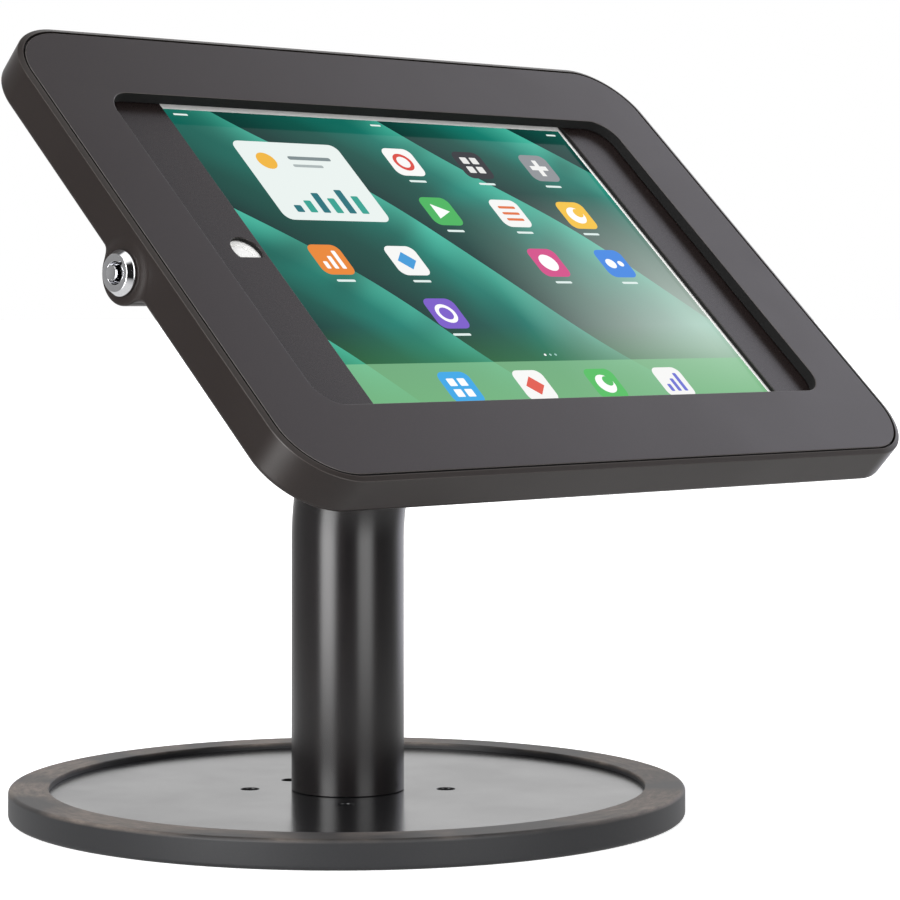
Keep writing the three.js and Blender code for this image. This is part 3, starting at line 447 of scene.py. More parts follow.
def softened(profile, radius, steps=3):
    """Rounds the corners of a (radius, height) profile, except those on the axis."""
    points = [Vector(point) for point in profile]
    result = []
    for before, point, after in zip(points[-1:] + points, points, points[1:] + points[:1]):
        if point.x == 0:
            result.append(tuple(point))
            continue
        before, after = before - point, after - point
        reach = min(radius, before.length * 0.45, after.length * 0.45)
        start = point + before.normalized() * reach
        end = point + after.normalized() * reach
        for share in (k / steps for k in range(steps + 1)):
            result.append(tuple(start.lerp(point, share).lerp(point.lerp(end, share), share)))
    return result


def welded(mesh, distance):
    """Merges a mesh's doubled points and turns its faces outwards."""
    shell = bmesh.new()
    shell.from_mesh(mesh)
    bmesh.ops.remove_doubles(shell, verts=shell.verts, dist=distance)
    bmesh.ops.recalc_face_normals(shell, faces=shell.faces)
    shell.to_mesh(mesh)
    shell.free()
    return mesh


def mesh_of(form):
    """The mesh of a form. A mesh is given back as it is."""
    if isinstance(form, bpy.types.Mesh):
        return form
    mesh = bpy.data.meshes.new("form")
    mesh.from_pydata(form.points, [], form.faces)
    return welded(mesh, MERGE)


def add_object(name, data):
    thing = bpy.data.objects.new(name, data)
    bpy.context.scene.collection.objects.link(thing)
    return thing


def result_of(thing):
    """The plain mesh that an object's modifiers give. The object goes."""
    depsgraph = bpy.context.evaluated_depsgraph_get()
    mesh = bpy.data.meshes.new_from_object(thing.evaluated_get(depsgraph))
    bpy.data.objects.remove(thing)
    return mesh


def combined(form, joins=(), cuts=()):
    """One closed mesh: a form with others fused to it, then others cut from it."""
    thing = add_object("helper", mesh_of(form))
    others = []
    for operation, forms in (("UNION", joins), ("DIFFERENCE", cuts)):
        for other in forms:
            others.append(add_object("helper", mesh_of(other)))
            modifier = thing.modifiers.new(operation.lower(), "BOOLEAN")
            modifier.operation, modifier.solver = operation, "MANIFOLD"
            modifier.object = others[-1]
    mesh = result_of(thing)
    for other in others:
        bpy.data.objects.remove(other)
    return mesh


def add_piece(name, form, place, body, slot, material, *nodes):
    """A finished piece of the stand: placed in its mesh, shaded, painted and set on its body."""
    mesh = mesh_of(form)
    mesh.transform(place)
    mesh.materials.clear()
    mesh.materials.append(MATERIALS[material])
    mesh.polygons.foreach_set("material_index", [0] * len(mesh.polygons))
    mesh.polygons.foreach_set("use_smooth", [True] * len(mesh.polygons))
    mesh.set_sharp_from_angle(angle=SHARP)
    shaded = add_object(name, mesh)
    shaded.modifiers.new("flats", "WEIGHTED_NORMAL").keep_sharp = True
    mesh = result_of(shaded)
    mesh.name = name
    piece = add_object(name, mesh)
    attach(piece, body)
    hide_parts(*nodes)


def dress(material, *nodes):
    """A new finish on solids whose own shape is right."""
    for node in nodes:
        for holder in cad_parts[node].material_slots:
            holder.material = MATERIALS[material]


# Materials

MATERIALS = {}
# Most of a noise's values lie between these
MIDDLE = (0.3, 0.7)
COLOUR_MIX = {"data_type": "RGBA", "out": 2}


def linear(colour, alpha=1.0):
    """Linear colour of an sRGB hex value such as "8a8d90"."""
    values = [int(colour[i : i + 2], 16) / 255 for i in (0, 2, 4)]
    return (*[v / 12.92 if v <= 0.04045 else ((v + 0.055) / 1.055) ** 2.4 for v in values], alpha)


def fill(node, *given, **named):
    """Sets a node's inputs, in order or by name or identifier, to values, sRGB hex colours or
    other nodes' outputs."""
    sockets = {socket.name: socket for socket in reversed(node.inputs[:])}
    sockets |= {socket.identifier: socket for socket in node.inputs}
    sockets |= dict(enumerate(node.inputs))
    for key, value in [*enumerate(given), *named.items()]:
        socket = sockets[key] if key in sockets else sockets[key.replace("_", " ")]
        if isinstance(value, bpy.types.NodeSocket):
            node.id_data.links.new(value, socket)
        else:
            socket.default_value = linear(value) if isinstance(value, str) else value


def add_node(tree, kind, *given, out=0, **named):
    """Adds a node and gives one of its outputs, or all for None. Small letters name a setting,
    a capital an input; a kind without Node in its name is a shader node's."""
    node = tree.nodes.new(kind if "Node" in kind else f"ShaderNode{kind}")
    for name in [name for name in named if name[0].islower()]:
        setattr(node, name, named.pop(name))
    fill(node, *given, **named)
    return node.outputs if out is None else node.outputs[out]


def new_material(name, colour, roughness, **inputs):
    """A material with the values that are the same all over it: itself, its tree, its shader."""
    material = bpy.data.materials.new(name)
    material.use_nodes = True
    shader = material.node_tree.nodes["Principled BSDF"]
    fill(shader, Base_Color=colour, Roughness=roughness, **inputs)
    return material, material.node_tree, shader


def object_place(tree, scale=(1, 1, 1)):
    """Object coordinates, scaled for a pattern."""
    return add_node(tree, "Mapping", add_node(tree, "TexCoord", out="Object"), Scale=scale)


def scale_of(size):
    """A pattern's scale from the size of its features in millimetres."""
    return 1 / (size * MM)


def set_stops(ramp, stops):
    """Replaces a colour ramp's stops by (place, linear colour) pairs."""
    while len(ramp.elements) > 1:
        ramp.elements.remove(ramp.elements[-1])
    ramp.elements[0].position, ramp.elements[0].color = stops[0]
    for place, colour in stops[1:]:
        ramp.elements.new(place).color = colour


def edge_bands(tree, bands):
    """1 where a point of the head lies in one of the bands of height over the cover's face."""
    place = add_node(tree, "TexCoord", out="Object")
    from_face = add_node(tree, "VectorMath", place, HEAD.translation[:], operation="SUBTRACT")
    normal = HEAD.to_3x3() @ Vector((0, 0, 1))
    height = add_node(
        tree, "VectorMath", from_face, normal[:], operation="DOT_PRODUCT", out="Value"
    )
    found = 0.0
    for low, high in bands:
        middle, half = (low + high) / 2 * MM, (high - low) / 2 * MM
        inside = add_node(tree, "Math", height, middle, half, operation="COMPARE")
        found = add_node(tree, "Math", found, inside, operation="MAXIMUM")
    return found


def two_tones(tree, marks, first, second, reach=MIDDLE):
    """Colour that goes over from first to second with a pattern of marks."""
    share = add_node(tree, "MapRange", marks, *reach, 0.0, 1.0)
    return add_node(tree, "Mix", share, A_Color=first, B_Color=second, **COLOUR_MIX)


def powder_coat(
    name, dark, light, roughness, grain=0.35, strength=0.25, edges=(), gloss=0.5, dull=()
):
    """Powder coat on metal: sprayed grains melt to a satin skin with a very fine orange peel.
    The real grain is about 0.1 mm; it is drawn coarser so that it shows. The edge bands hold
    painted light: painted highlights along rounded edges and rim bands, and painted shade on walls
    that face away. The dull bands, on cut edges, hold dry overspray."""
    material, tree, shader = new_material(name, dark, roughness, Specular_IOR_Level=gloss)
    place = object_place(tree)
    fine, broad = (
        add_node(tree, "TexNoise", place, Scale=scale_of(size), Detail=3.0, Roughness=rough)
        for size, rough in ((grain, 0.6), (40.0, 0.5))
    )
    colour = two_tones(tree, fine, dark, light)
    # painted highlights and painted shade, in bands along the edges
    for shade, bands in edges:
        band = edge_bands(tree, bands)
        colour = add_node(tree, "Mix", band, A_Color=colour, B_Color=shade, **COLOUR_MIX)
    mottled = add_node(tree, "MapRange", broad, *MIDDLE, roughness - 0.03, roughness + 0.03)
    if dull:
        band = edge_bands(tree, dull)
        mottled = add_node(tree, "Math", mottled, band, operation="MAXIMUM")
    peel = add_node(tree, "Bump", Height=fine, Strength=strength, Distance=0.02 * MM)
    fill(shader, Base_Color=colour, Roughness=mottled, Normal=peel)
    return material


def drawn_paint(name, dark, light, roughness):
    """Satin paint over a drawn steel tube: faint grain runs along the tube."""
    material, tree, shader = new_material(name, dark, roughness)
    streak = add_node(
        tree, "TexNoise", object_place(tree, (1, 1, 0.12)),
        Scale=scale_of(1.6), Detail=3.0, Roughness=0.5,
    )
    fine = add_node(
        tree, "TexNoise", object_place(tree), Scale=scale_of(0.35), Detail=2.0, Roughness=0.6
    )
    fill(
        shader,
        Base_Color=two_tones(tree, streak, dark, light),
        Roughness=add_node(
            tree, "MapRange", streak, *MIDDLE, roughness - 0.006, roughness + 0.006
        ),
        Normal=add_node(tree, "Bump", Height=fine, Strength=0.15, Distance=0.02 * MM),
    )
    return material


def wiped_rubber(name, dark, light, dust_and_sheen, roughness):
    """Moulded rubber: smooth and matt on its side; its top holds pale marks, drawn out along the
    ring, that are partly wiping and partly a painted sheen, and fine grit."""
    material, tree, shader = new_material(name, dark, roughness)
    place = object_place(tree)
    radial = add_node(
        tree, "VectorMath", object_place(tree, (1, 1, 0)), operation="LENGTH", out="Value"
    )
    parts = add_node(tree, "SeparateXYZ", place, out=None)
    angle = add_node(tree, "Math", parts["Y"], parts["X"], operation="ARCTAN2")
    along = add_node(tree, "Math", angle, 0.03, operation="MULTIPLY")
    stretched = add_node(tree, "CombineXYZ", radial, along, parts["Z"])
    strokes, patches, grit = (
        add_node(tree, "TexNoise", where, Scale=scale_of(size), Detail=detail, Roughness=rough)
        for where, size, detail, rough in (
            (stretched, 2.0, 4.0, 0.7), (place, 45.0, 2.0, 0.5), (place, 0.6, 2.0, 0.6)
        )
    )
    stroke = add_node(tree, "MapRange", strokes, *MIDDLE, 0.3, 1.0)
    patch = add_node(tree, "MapRange", patches, 0.42, 0.58, 0.15, 1.0)
    wipe = add_node(tree, "Math", stroke, patch, operation="MULTIPLY")
    base = two_tones(tree, grit, dark, light)
    top = ((RING_HEIGHT - RING_ROUND) * MM, (RING_HEIGHT - 0.1) * MM)
    on_top = add_node(tree, "MapRange", parts["Z"], *top, 0.0, 1.0)
    # the pale top is partly wiping marks and partly a painted sheen
    wear_and_sheen = add_node(tree, "Math", on_top, wipe, operation="MULTIPLY")
    fill(
        shader,
        Base_Color=add_node(tree, "Mix", wear_and_sheen, A_Color=base, B_Color=dust_and_sheen, **COLOUR_MIX),
        Roughness=add_node(tree, "MapRange", wear_and_sheen, 0.0, 1.0, roughness, roughness + 0.2),
        Normal=add_node(tree, "Bump", Height=grit, Strength=0.35, Distance=0.05 * MM),
    )
    return material


def moulded_plastic(name, dark, light, roughness, grain=0.5, strength=0.3, dull=()):
    """Moulded ABS with a spark-eroded texture. The dull bands, its low walls, are rougher and take
    painted shade, near black.
    """
    material, tree, shader = new_material(name, dark, roughness)
    fine = add_node(
        tree, "TexNoise", object_place(tree), Scale=scale_of(grain), Detail=3.0, Roughness=0.6
    )
    colour = two_tones(tree, fine, dark, light)
    mottled = add_node(tree, "MapRange", fine, *MIDDLE, roughness - 0.03, roughness + 0.03)
    if dull:
        band = edge_bands(tree, dull)
        # painted shade, near black, on the low walls
        colour = add_node(tree, "Mix", band, A_Color=colour, B_Color="060505", **COLOUR_MIX)
        mottled = add_node(tree, "Math", mottled, band, operation="MAXIMUM")
    texture = add_node(tree, "Bump", Height=fine, Strength=strength, Distance=0.03 * MM)
    fill(shader, Base_Color=colour, Roughness=mottled, Normal=texture)
    return material


def plated_metal(name, colour, tint, roughness, size=0.8):
    """Plated or blasted metal: fine tool marks or blasting show as small shifts of gloss."""
    material, tree, shader = new_material(name, colour, roughness, Metallic=1.0)
    marks = add_node(
        tree, "TexNoise", object_place(tree), Scale=scale_of(size), Detail=4.0, Roughness=0.65
    )
    fill(
        shader,
        Base_Color=two_tones(tree, marks, colour, tint),
        Roughness=add_node(tree, "MapRange", marks, *MIDDLE, roughness * 0.75, roughness * 1.3),
        Normal=add_node(tree, "Bump", Height=marks, Strength=0.2, Distance=0.01 * MM),
    )
    return material


def pebbled_foam(name, dark, light):
    """Closed-cell foam: a matt skin of small open pebbles."""
    material, tree, shader = new_material(name, dark, 0.95)
    cells = add_node(tree, "TexVoronoi", object_place(tree), Scale=scale_of(1.2), feature="F1")
    fill(
        shader,
        Base_Color=two_tones(tree, cells, light, dark, (0.0, 0.7)),
        Normal=add_node(tree, "Bump", Height=cells, Strength=0.6, Distance=0.2 * MM),
    )
    return material


def screen_glass(name):
    """A tablet's front: white print and a lit picture under polished glass, whose coat lets it
    reflect only about a fifth of what bare glass does, so its index is low."""
    material, tree, shader = new_material(name, "f4f4f2", 0.09, IOR=1.18)
    ink = add_node(tree, "Attribute", attribute_name="print", out=None)
    lit = add_node(tree, "Attribute", attribute_name="lit", out="Fac")
    picture, border = (
        add_node(tree, "Mix", share, A_Color=first, B_Color=second, **COLOUR_MIX)
        for share, first, second in (
            (ink["Alpha"], wallpaper(tree), ink["Color"]), (lit, ink["Color"], "050606")
        )
    )
    # Emission_Strength holds the lit picture and the painted glow of the white border
    fill(shader, Base_Color=border, Emission_Color=picture, Emission_Strength=lit)
    return material


def wallpaper(tree):
    """Broad folded ribbons in sea green, drawn in the cover's own plane."""
    centre = HEAD @ Vector((TABLET_SHIFT * MM, 0, GLASS_TOP * MM))
    place = add_node(tree, "TexCoord", out="Object")
    moved = add_node(tree, "VectorMath", place, centre[:], operation="SUBTRACT")
    flat = add_node(tree, "Mapping", moved, Rotation=(-HEAD_TILT, 0, 0))
    parts = add_node(tree, "SeparateXYZ", flat, out=None)
    across, upward = (
        add_node(tree, "MapRange", parts[axis], -half * MM, half * MM, 0.0, 1.0)
        for axis, half in (("X", DISPLAY_HALF_WIDTH), ("Y", DISPLAY_HALF_HEIGHT))
    )
    wave = add_node(
        tree, "TexWave", flat, wave_type="BANDS", bands_direction="DIAGONAL",
        wave_profile="SAW", Scale=9.0, Distortion=3.2, Detail=1.0, Detail_Scale=0.6, out="Fac",
    )
    fold = add_node(tree, "TexNoise", flat, Scale=14.0, Detail=1.0, Distortion=1.2)
    ribbons = add_node(tree, "ValToRGB", wave)
    shades = ((0.0, "0a3430"), (0.35, "0f564b"), (0.7, "168474"), (1.0, "46b8a0"))
    set_stops(ribbons.node.color_ramp, [(place, linear(shade)) for place, shade in shades])
    right = add_node(tree, "MapRange", across, 0.5, 0.95, 0.0, 1.0)
    low = add_node(tree, "MapRange", upward, 0.2, 0.75, 0.75, 0.0)
    colour = ribbons
    for share, shade in (
        (add_node(tree, "MapRange", fold, 0.35, 0.7, 0.0, 0.7), "0c4038"),
        (add_node(tree, "Math", right, low, operation="MULTIPLY"), "d5e6da"),
        (add_node(tree, "MapRange", upward, 0.0, 0.28, 0.9, 0.0), "35883f"),
    ):
        colour = add_node(tree, "Mix", share, A_Color=colour, B_Color=shade, **COLOUR_MIX)
    return colour


def make_materials(colours):
    return {
        "cover": powder_coat(
            "Satin black powder coat", colours.cover, "282020", 0.31,
            edges=COVER_PAINTED_LIGHT_AND_SHADE, dull=COVER_DULL,
        ),
        "tray": powder_coat(
            "Satin black powder coat on casting", "1c1715", "241d1b", 0.34,
            edges=TRAY_PAINTED_HIGHLIGHTS, gloss=0.36,
        ),
        "plate": powder_coat("Semi-gloss black powder coat", "19191a", "1e1e20", 0.2, 0.5, 0.06),
        "hub": powder_coat("Black coated steel", "1f1e20", "29282a", 0.4),
        "post": drawn_paint("Satin paint over drawn tube", colours.post, "1a1717", 0.24),
        # 8a7f77: pale tone of the ring's top, partly wiping and partly a painted sheen
        "ring": wiped_rubber("Moulded rubber", colours.ring, "202022", "8a7f77", 0.5),
        "grommet": moulded_plastic("Soft black rubber", "161516", "201f20", 0.7),
        "adapter": moulded_plastic(
            "Moulded black plastic", "1b1514", "1e1716", 0.28, 0.3, 0.06, ADAPTER_DULL_AND_SHADED
        ),
        "zinc": plated_metal("Zinc-plated steel", "a2a4a8", "b9bcc2", 0.32),
        "chrome": plated_metal("Nickel-chrome plate", "e4e5e8", "eeeef0", 0.07, 0.5),
        "alloy": plated_metal("Bead-blasted anodised aluminium", "c3c4c6", "d4d5d7", 0.38, 0.3),
        "foam": pebbled_foam("Closed-cell foam", "1b1b1c", "2a2a2b"),
        "nylon": moulded_plastic("Natural nylon", "dbd7cb", "e8e5db", 0.5),
        "cells": moulded_plastic("Laminated cells", "2c2f33", "3a3d42", 0.7),
        "button": moulded_plastic("Polished white plastic", "f0f0ee", "f6f6f4", 0.15, 3.0),
        "screen": screen_glass("Printed glass over a lit display"),
    }


# Pieces of the base and the post


def base_hole_places():
    corners = [(1, 1), (-1, 1), (-1, -1), (1, -1)]
    return [(side * BOLT_HALF, end * BOLT_HALF) for side, end in corners] + [(0.0, REAR_HOLE)]


def ring_form():
    """Rubber ring: a seat for the plate's edge inside, and rounded outer edges."""
    edge = BASE_RADIUS - RING_ROUND
    low = arc(edge, RING_ROUND, RING_ROUND, -QUARTER, QUARTER, 6)
    high = arc(edge, RING_HEIGHT - RING_ROUND, RING_ROUND, 0, QUARTER, 6)
    soft = RING_LIP_ROUND
    inner_top = arc(RING_INNER + soft, RING_HEIGHT - soft, soft, QUARTER, QUARTER, 4)
    profile = [
        (RING_INNER, 0.0),
        *low,
        *high,
        *inner_top,
        (RING_INNER, PLATE_TOP + RING_LIP_GAP),
        (PLATE_RADIUS + CLEAR, PLATE_TOP + RING_LIP_GAP),
        (PLATE_RADIUS + CLEAR, PLATE_BOTTOM - CLEAR),
        (RING_INNER, PLATE_BOTTOM - CLEAR),
    ]
    return turned(profile, 256)


def plate_form():
    holes = [hole(BOLT_HOLE, 40, x, y) for x, y in base_hole_places()]
    return plate(circle(PLATE_RADIUS, 192), holes, PLATE_BOTTOM, PLATE_TOP, PLATE_EDGE)


def post_path():
    """Foot, knee and head end of the post's centre line, in metres."""
    end = HEAD @ Vector((0, 0, POST_END * MM))
    rise = -end.y / math.sin(HEAD_TILT)
    knee = end - rise * Vector((0, -math.sin(HEAD_TILT), math.cos(HEAD_TILT)))
    return [Vector((0, 0, FOOT * MM)), knee, end]


def new_rule(name, **inputs):
    """A geometry tree and its inputs' sockets: each input is a kind, or a size in millimetres."""
    tree = bpy.data.node_groups.new(name, "GeometryNodeTree")
    for label, given in inputs.items():
        kind = given if isinstance(given, str) else "Float"
        socket = tree.interface.new_socket(
            label.replace("_", " "), in_out="INPUT", socket_type=f"NodeSocket{kind}"
        )
        if kind == "Float":
            socket.default_value = given * MM
            socket.subtype = "DISTANCE"
    tree.interface.new_socket("Result", in_out="OUTPUT", socket_type="NodeSocketGeometry")
    return tree, add_node(tree, "NodeGroupInput", out=None)


def tube_tree():
    """Rule of the post: a path with one rounded knee, swept to a tube, bored and pierced."""
    tree, given = new_rule(
        "Bent tube", Path="Geometry", Bend_radius=POST_BEND, Outside_radius=POST_RADIUS,
        Bore_radius=POST_BORE, Outlet_radius=OUTLET_RADIUS, Outlet_height=OUTLET_HEIGHT,
        Finish="Material",
    )
    path = add_node(tree, "GeometryNodeMeshToCurve", Mesh=given["Path"])
    bent = add_node(
        tree, "GeometryNodeFilletCurve", mode="POLY", Curve=path, Count=40,
        Radius=given["Bend radius"],
    )
    # the bore runs a little past both ends of the tube
    along = add_node(tree, "GeometryNodeSplineParameter", out="Factor")
    reach = add_node(tree, "MapRange", along, 0.0, 1.0, -2 * MM, 2 * MM)
    tangent = add_node(tree, "GeometryNodeInputTangent")
    past = add_node(tree, "VectorMath", tangent, Scale=reach, operation="SCALE")
    ends = add_node(tree, "GeometryNodeCurveEndpointSelection", 1, 1)
    longer = add_node(tree, "GeometryNodeSetPosition", Geometry=bent, Selection=ends, Offset=past)
    outside, bore = (
        add_node(
            tree, "GeometryNodeCurveToMesh", Curve=line, Fill_Caps=True,
            Profile_Curve=add_node(
                tree, "GeometryNodeCurvePrimitiveCircle", Resolution=facets, Radius=given[name]
            ),
        )
        for name, facets, line in (("Outside radius", 144, bent), ("Bore radius", 96, longer))
    )
    drill = add_node(
        tree, "GeometryNodeMeshCylinder", Vertices=64, Radius=given["Outlet radius"],
        Depth=OUTLET_DRILL * MM, out="Mesh",
    )
    spot = add_node(tree, "CombineXYZ", Y=OUTLET_DRILL / 2 * MM, Z=given["Outlet height"])
    drilled = add_node(
        tree, "GeometryNodeTransform", Geometry=drill, Translation=spot,
        Rotation=(QUARTER, 0, 0),
    )
    hollow = add_node(tree, "GeometryNodeMeshBoolean", operation="DIFFERENCE", solver="MANIFOLD")
    for name, part in (("Mesh 1", outside), ("Mesh 2", drilled), ("Mesh 2", bore)):
        tree.links.new(part, hollow.node.inputs[name])
    close_tree(tree, hollow, given["Finish"])
    return tree


def close_tree(tree, geometry, finish):
    """Ends a rule: real geometry, in its finish."""
    real = add_node(tree, "GeometryNodeRealizeInstances", Geometry=geometry)
    done = add_node(tree, "GeometryNodeSetMaterial", Geometry=real, Material=finish)
    add_node(tree, "NodeGroupOutput", done, out=None)


def run_tree(tree, start, **inputs):
    """The plain mesh that a geometry tree makes from a starting mesh."""
    thing = add_object("start", start)
    modifier = thing.modifiers.new("rule", "NODES")
    modifier.node_group = tree
    for item in tree.interface.items_tree:
        if item.in_out == "INPUT" and item.name in inputs:
            modifier[item.identifier] = inputs[item.name]
    return result_of(thing)


def line_mesh(points):
    mesh = bpy.data.meshes.new("path")
    mesh.from_pydata(points, [(i, i + 1) for i in range(len(points) - 1)], [])
    return mesh

def grommet_form():
    """A bush round the cable outlet whose two flanges follow the post's round wall."""
    outside = POST_RADIUS + CLEAR
    inside = POST_BORE - CLEAR
    neck = OUTLET_RADIUS - CLEAR
    thick = GROMMET_THICKNESS
    soft = GROMMET_ROUND
    section = [
        (GROMMET_BORE, inside - thick),
        (GROMMET_FLANGE - soft, inside - thick),
        (GROMMET_FLANGE, inside - thick + soft),
        (GROMMET_FLANGE, inside),
        (neck, inside),
        (neck, outside),
        (GROMMET_FLANGE, outside),
        (GROMMET_FLANGE, outside + thick - soft),
        (GROMMET_FLANGE - soft * 0.3, outside + thick - soft * 0.3),
        (GROMMET_FLANGE - soft, outside + thick),
        (GROMMET_BORE + soft, outside + thick),
        (GROMMET_BORE, outside + thick - soft),
    ]
    form = Form()
    rings = []
    for radius, depth in section:
        leans = [(math.asin(x / depth), z) for x, z in circle(radius, 64)()]
        rings.append(form.ring(
            (depth * math.sin(lean), depth * math.cos(lean), OUTLET_HEIGHT + z)
            for lean, z in leans
        ))
    for ring, following in zip(rings, rings[1:] + rings[:1]):
        form.wall(ring, following)
    return form


# Pieces of the swivel


def spot_on(circle_radius, angle):
    return circle_radius * math.cos(angle), circle_radius * math.sin(angle)


def hub_form():
    profile = [
        (SPINDLE_RADIUS + CLEAR, HUB_BOTTOM),
        (HUB_RADIUS, HUB_BOTTOM),
        (HUB_RADIUS, HUB_TOP),
        (SPINDLE_FLANGE + CLEAR, HUB_TOP),
        (SPINDLE_FLANGE + CLEAR, HUB_TOP - HUB_RECESS),
        (SPINDLE_RADIUS + CLEAR, HUB_TOP - HUB_RECESS),
    ]
    body = turned(softened(profile, HUB_EDGE, 5), 128)
    drills = [(HUB_SCREW_HOLE, *spot) for spot in screw_spots()]
    drills.append((PIN_RADIUS + CLEAR, *spot_on(PIN_CIRCLE, PIN_ANGLE)))
    return combined(
        body,
        cuts=[rod(size, HUB_BOTTOM - PAST, HUB_TOP + PAST, x, y) for size, x, y in drills],
    )


def screw_spots():
    return [spot_on(HUB_SCREW_CIRCLE, math.radians(angle)) for angle in (45, 135, 225, 315)]


def stop_slot(inset=0.0):
    """Outline of the arc-shaped slot that the stop pin runs in."""
    half = PIN_RADIUS + PIN_GAP + inset
    end = PIN_ANGLE + QUARTER
    steps = 24
    return (
        arc(0, 0, PIN_CIRCLE + half, PIN_ANGLE, QUARTER, steps)
        + arc(*spot_on(PIN_CIRCLE, end), half, end, math.pi, steps)[1:]
        + arc(0, 0, PIN_CIRCLE - half, end, -QUARTER, steps)[1:]
        + arc(*spot_on(PIN_CIRCLE, PIN_ANGLE), half, PIN_ANGLE + math.pi, math.pi, steps)[1:-1]
    )


def neck_form():
    holes = [hole(SPINDLE_RADIUS + CLEAR, 64), stop_slot]
    return plate(circle(NECK_RADIUS, 128), holes, NECK_BOTTOM, NECK_TOP, 0.5, steps=4)


def spindle_form():
    profile = [
        (SPINDLE_BORE, NUT_BOTTOM),
        (SPINDLE_RADIUS, NUT_BOTTOM),
        (SPINDLE_RADIUS, HUB_TOP - SPINDLE_FLANGE_DEPTH),
        (SPINDLE_FLANGE, HUB_TOP - SPINDLE_FLANGE_DEPTH),
        (SPINDLE_FLANGE, HUB_TOP),
        (SPINDLE_BORE, HUB_TOP),
    ]
    return turned(softened(profile, NUT_EDGE), 96)


def washer_form(inside, outside, low, high, soft):
    return turned(softened(rectangle(inside, outside, low, high), soft), 96)


def nut_form():
    """Slotted ring nut."""
    inside, top = SPINDLE_RADIUS + CLEAR, NECK_BOTTOM - CLEAR
    ring = washer_form(inside, NUT_RADIUS, NUT_BOTTOM, top, NUT_EDGE)
    notches = []
    for turn in range(4):
        cos, sin = math.cos(turn * QUARTER), math.sin(turn * QUARTER)
        outline = [(x * cos - y * sin, x * sin + y * cos) for x, y in rectangle(*NUT_NOTCH)]
        notches.append(block(outline, NUT_BOTTOM - PAST, NUT_BOTTOM + NUT_NOTCH_DEPTH))
    return combined(ring, cuts=notches)
# Pieces of the enclosure


def boss_outline(turn, steps=16):
    """Half the section of the lock's boss: a hollow blend from the back, then a round crown.
    Each point is (drawn in along the lock's axis, y, z) for a turn of the outer edge's
    rounding, which goes over from the tray's own rounding to the crown's small one."""
    drop = LOCK_AXIS - TRAY_BACK + BOSS_BLEND
    side = math.sqrt((BOSS_RADIUS + BOSS_BLEND) ** 2 - drop**2)
    lean = math.atan2(drop, side)
    half = []
    for i in range(2 * steps + 1):
        share = min(i / steps, 1.0)
        edge = BOSS_EDGE + (TRAY_BACK_ROUND - BOSS_EDGE) * (1 + math.cos(math.pi * share)) / 2
        inward, inset = edge * (1 - math.cos(turn)), edge * (1 - math.sin(turn))
        if i <= steps:
            angle = (QUARTER - lean) * share
            radius = BOSS_BLEND + inset
            y, z = side - radius * math.sin(angle), radius * math.cos(angle) - BOSS_BLEND
        else:
            angle = lean + (QUARTER - lean) * (i - steps) / steps
            radius = BOSS_RADIUS - inset
            y, z = radius * math.cos(angle), LOCK_AXIS - radius * math.sin(angle) - TRAY_BACK
        half.append((inward, y, z))
    return half


def boss_section(x, share=1.0, turn=QUARTER):
    """The whole section of the boss, whose depth below the back is the full one times share.
    Its hollow blend starts a hair inside the back, so that it crosses it at an angle."""
    stretch = 1 + BOSS_SINK / (BOSS_RADIUS - LOCK_AXIS + TRAY_BACK)
    half = [
        (x + inward, y, TRAY_BACK + BOSS_SINK + z * stretch * share)
        for inward, y, z in boss_outline(turn)
    ]
    first, side = half[0][0], half[0][1]
    roof = TRAY_BACK + TRAY_BACK_ROUND + 2 * BOSS_SINK
    mirrored = [(px, -y, z) for px, y, z in half]
    return [(first, -side, roof), *mirrored, *reversed(half[:-1]), (first, side, roof)]


def boss_form():
    """The boss behind the lock: a rounded outer edge, a long body, and a soft fade inwards."""
    full_end = BOSS_POCKET_END + BOSS_WALL
    sections = [boss_section(-TRAY_HALF_WIDTH, turn=QUARTER * i / 6) for i in range(7)]
    sections.append(boss_section(full_end - TRAY_BACK_ROUND))
    steps = 12
    for i in range(1, steps + 1):
        share = i / steps
        depth = (1 + math.cos(math.pi * share)) / 2
        sections.append(boss_section(full_end + BOSS_FADE * share - TRAY_BACK_ROUND, depth))
    form = Form()
    rings = form.stack(sections)
    form.faces += [tuple(rings[0]), tuple(rings[-1])]
    return form


def pad_height(radius):
    """How far the left wall stands out at a distance from the lock's axis."""
    share = min(max((PAD_FLARE - radius) / (PAD_FLARE - PAD_RADIUS), 0.0), 1.0)
    return PAD_HEIGHT * (1 - math.cos(math.pi * share)) / 2


def edge_loops(faces):
    """The closed loops of vertices round a set of faces, the outermost first."""
    chosen = set(faces)
    follow = {}
    for face in faces:
        for corner in face.loops:
            others = [other for other in corner.edge.link_faces if other not in chosen]
            if others:
                follow[corner.vert] = corner.link_loop_next.vert
    loops = []
    while follow:
        start, vertex = follow.popitem()
        loop = [start]
        while vertex != start:
            loop.append(vertex)
            vertex = follow.pop(vertex)
        loops.append(loop)
    return sorted(loops, key=lambda loop: min(vertex.co.y for vertex in loop))


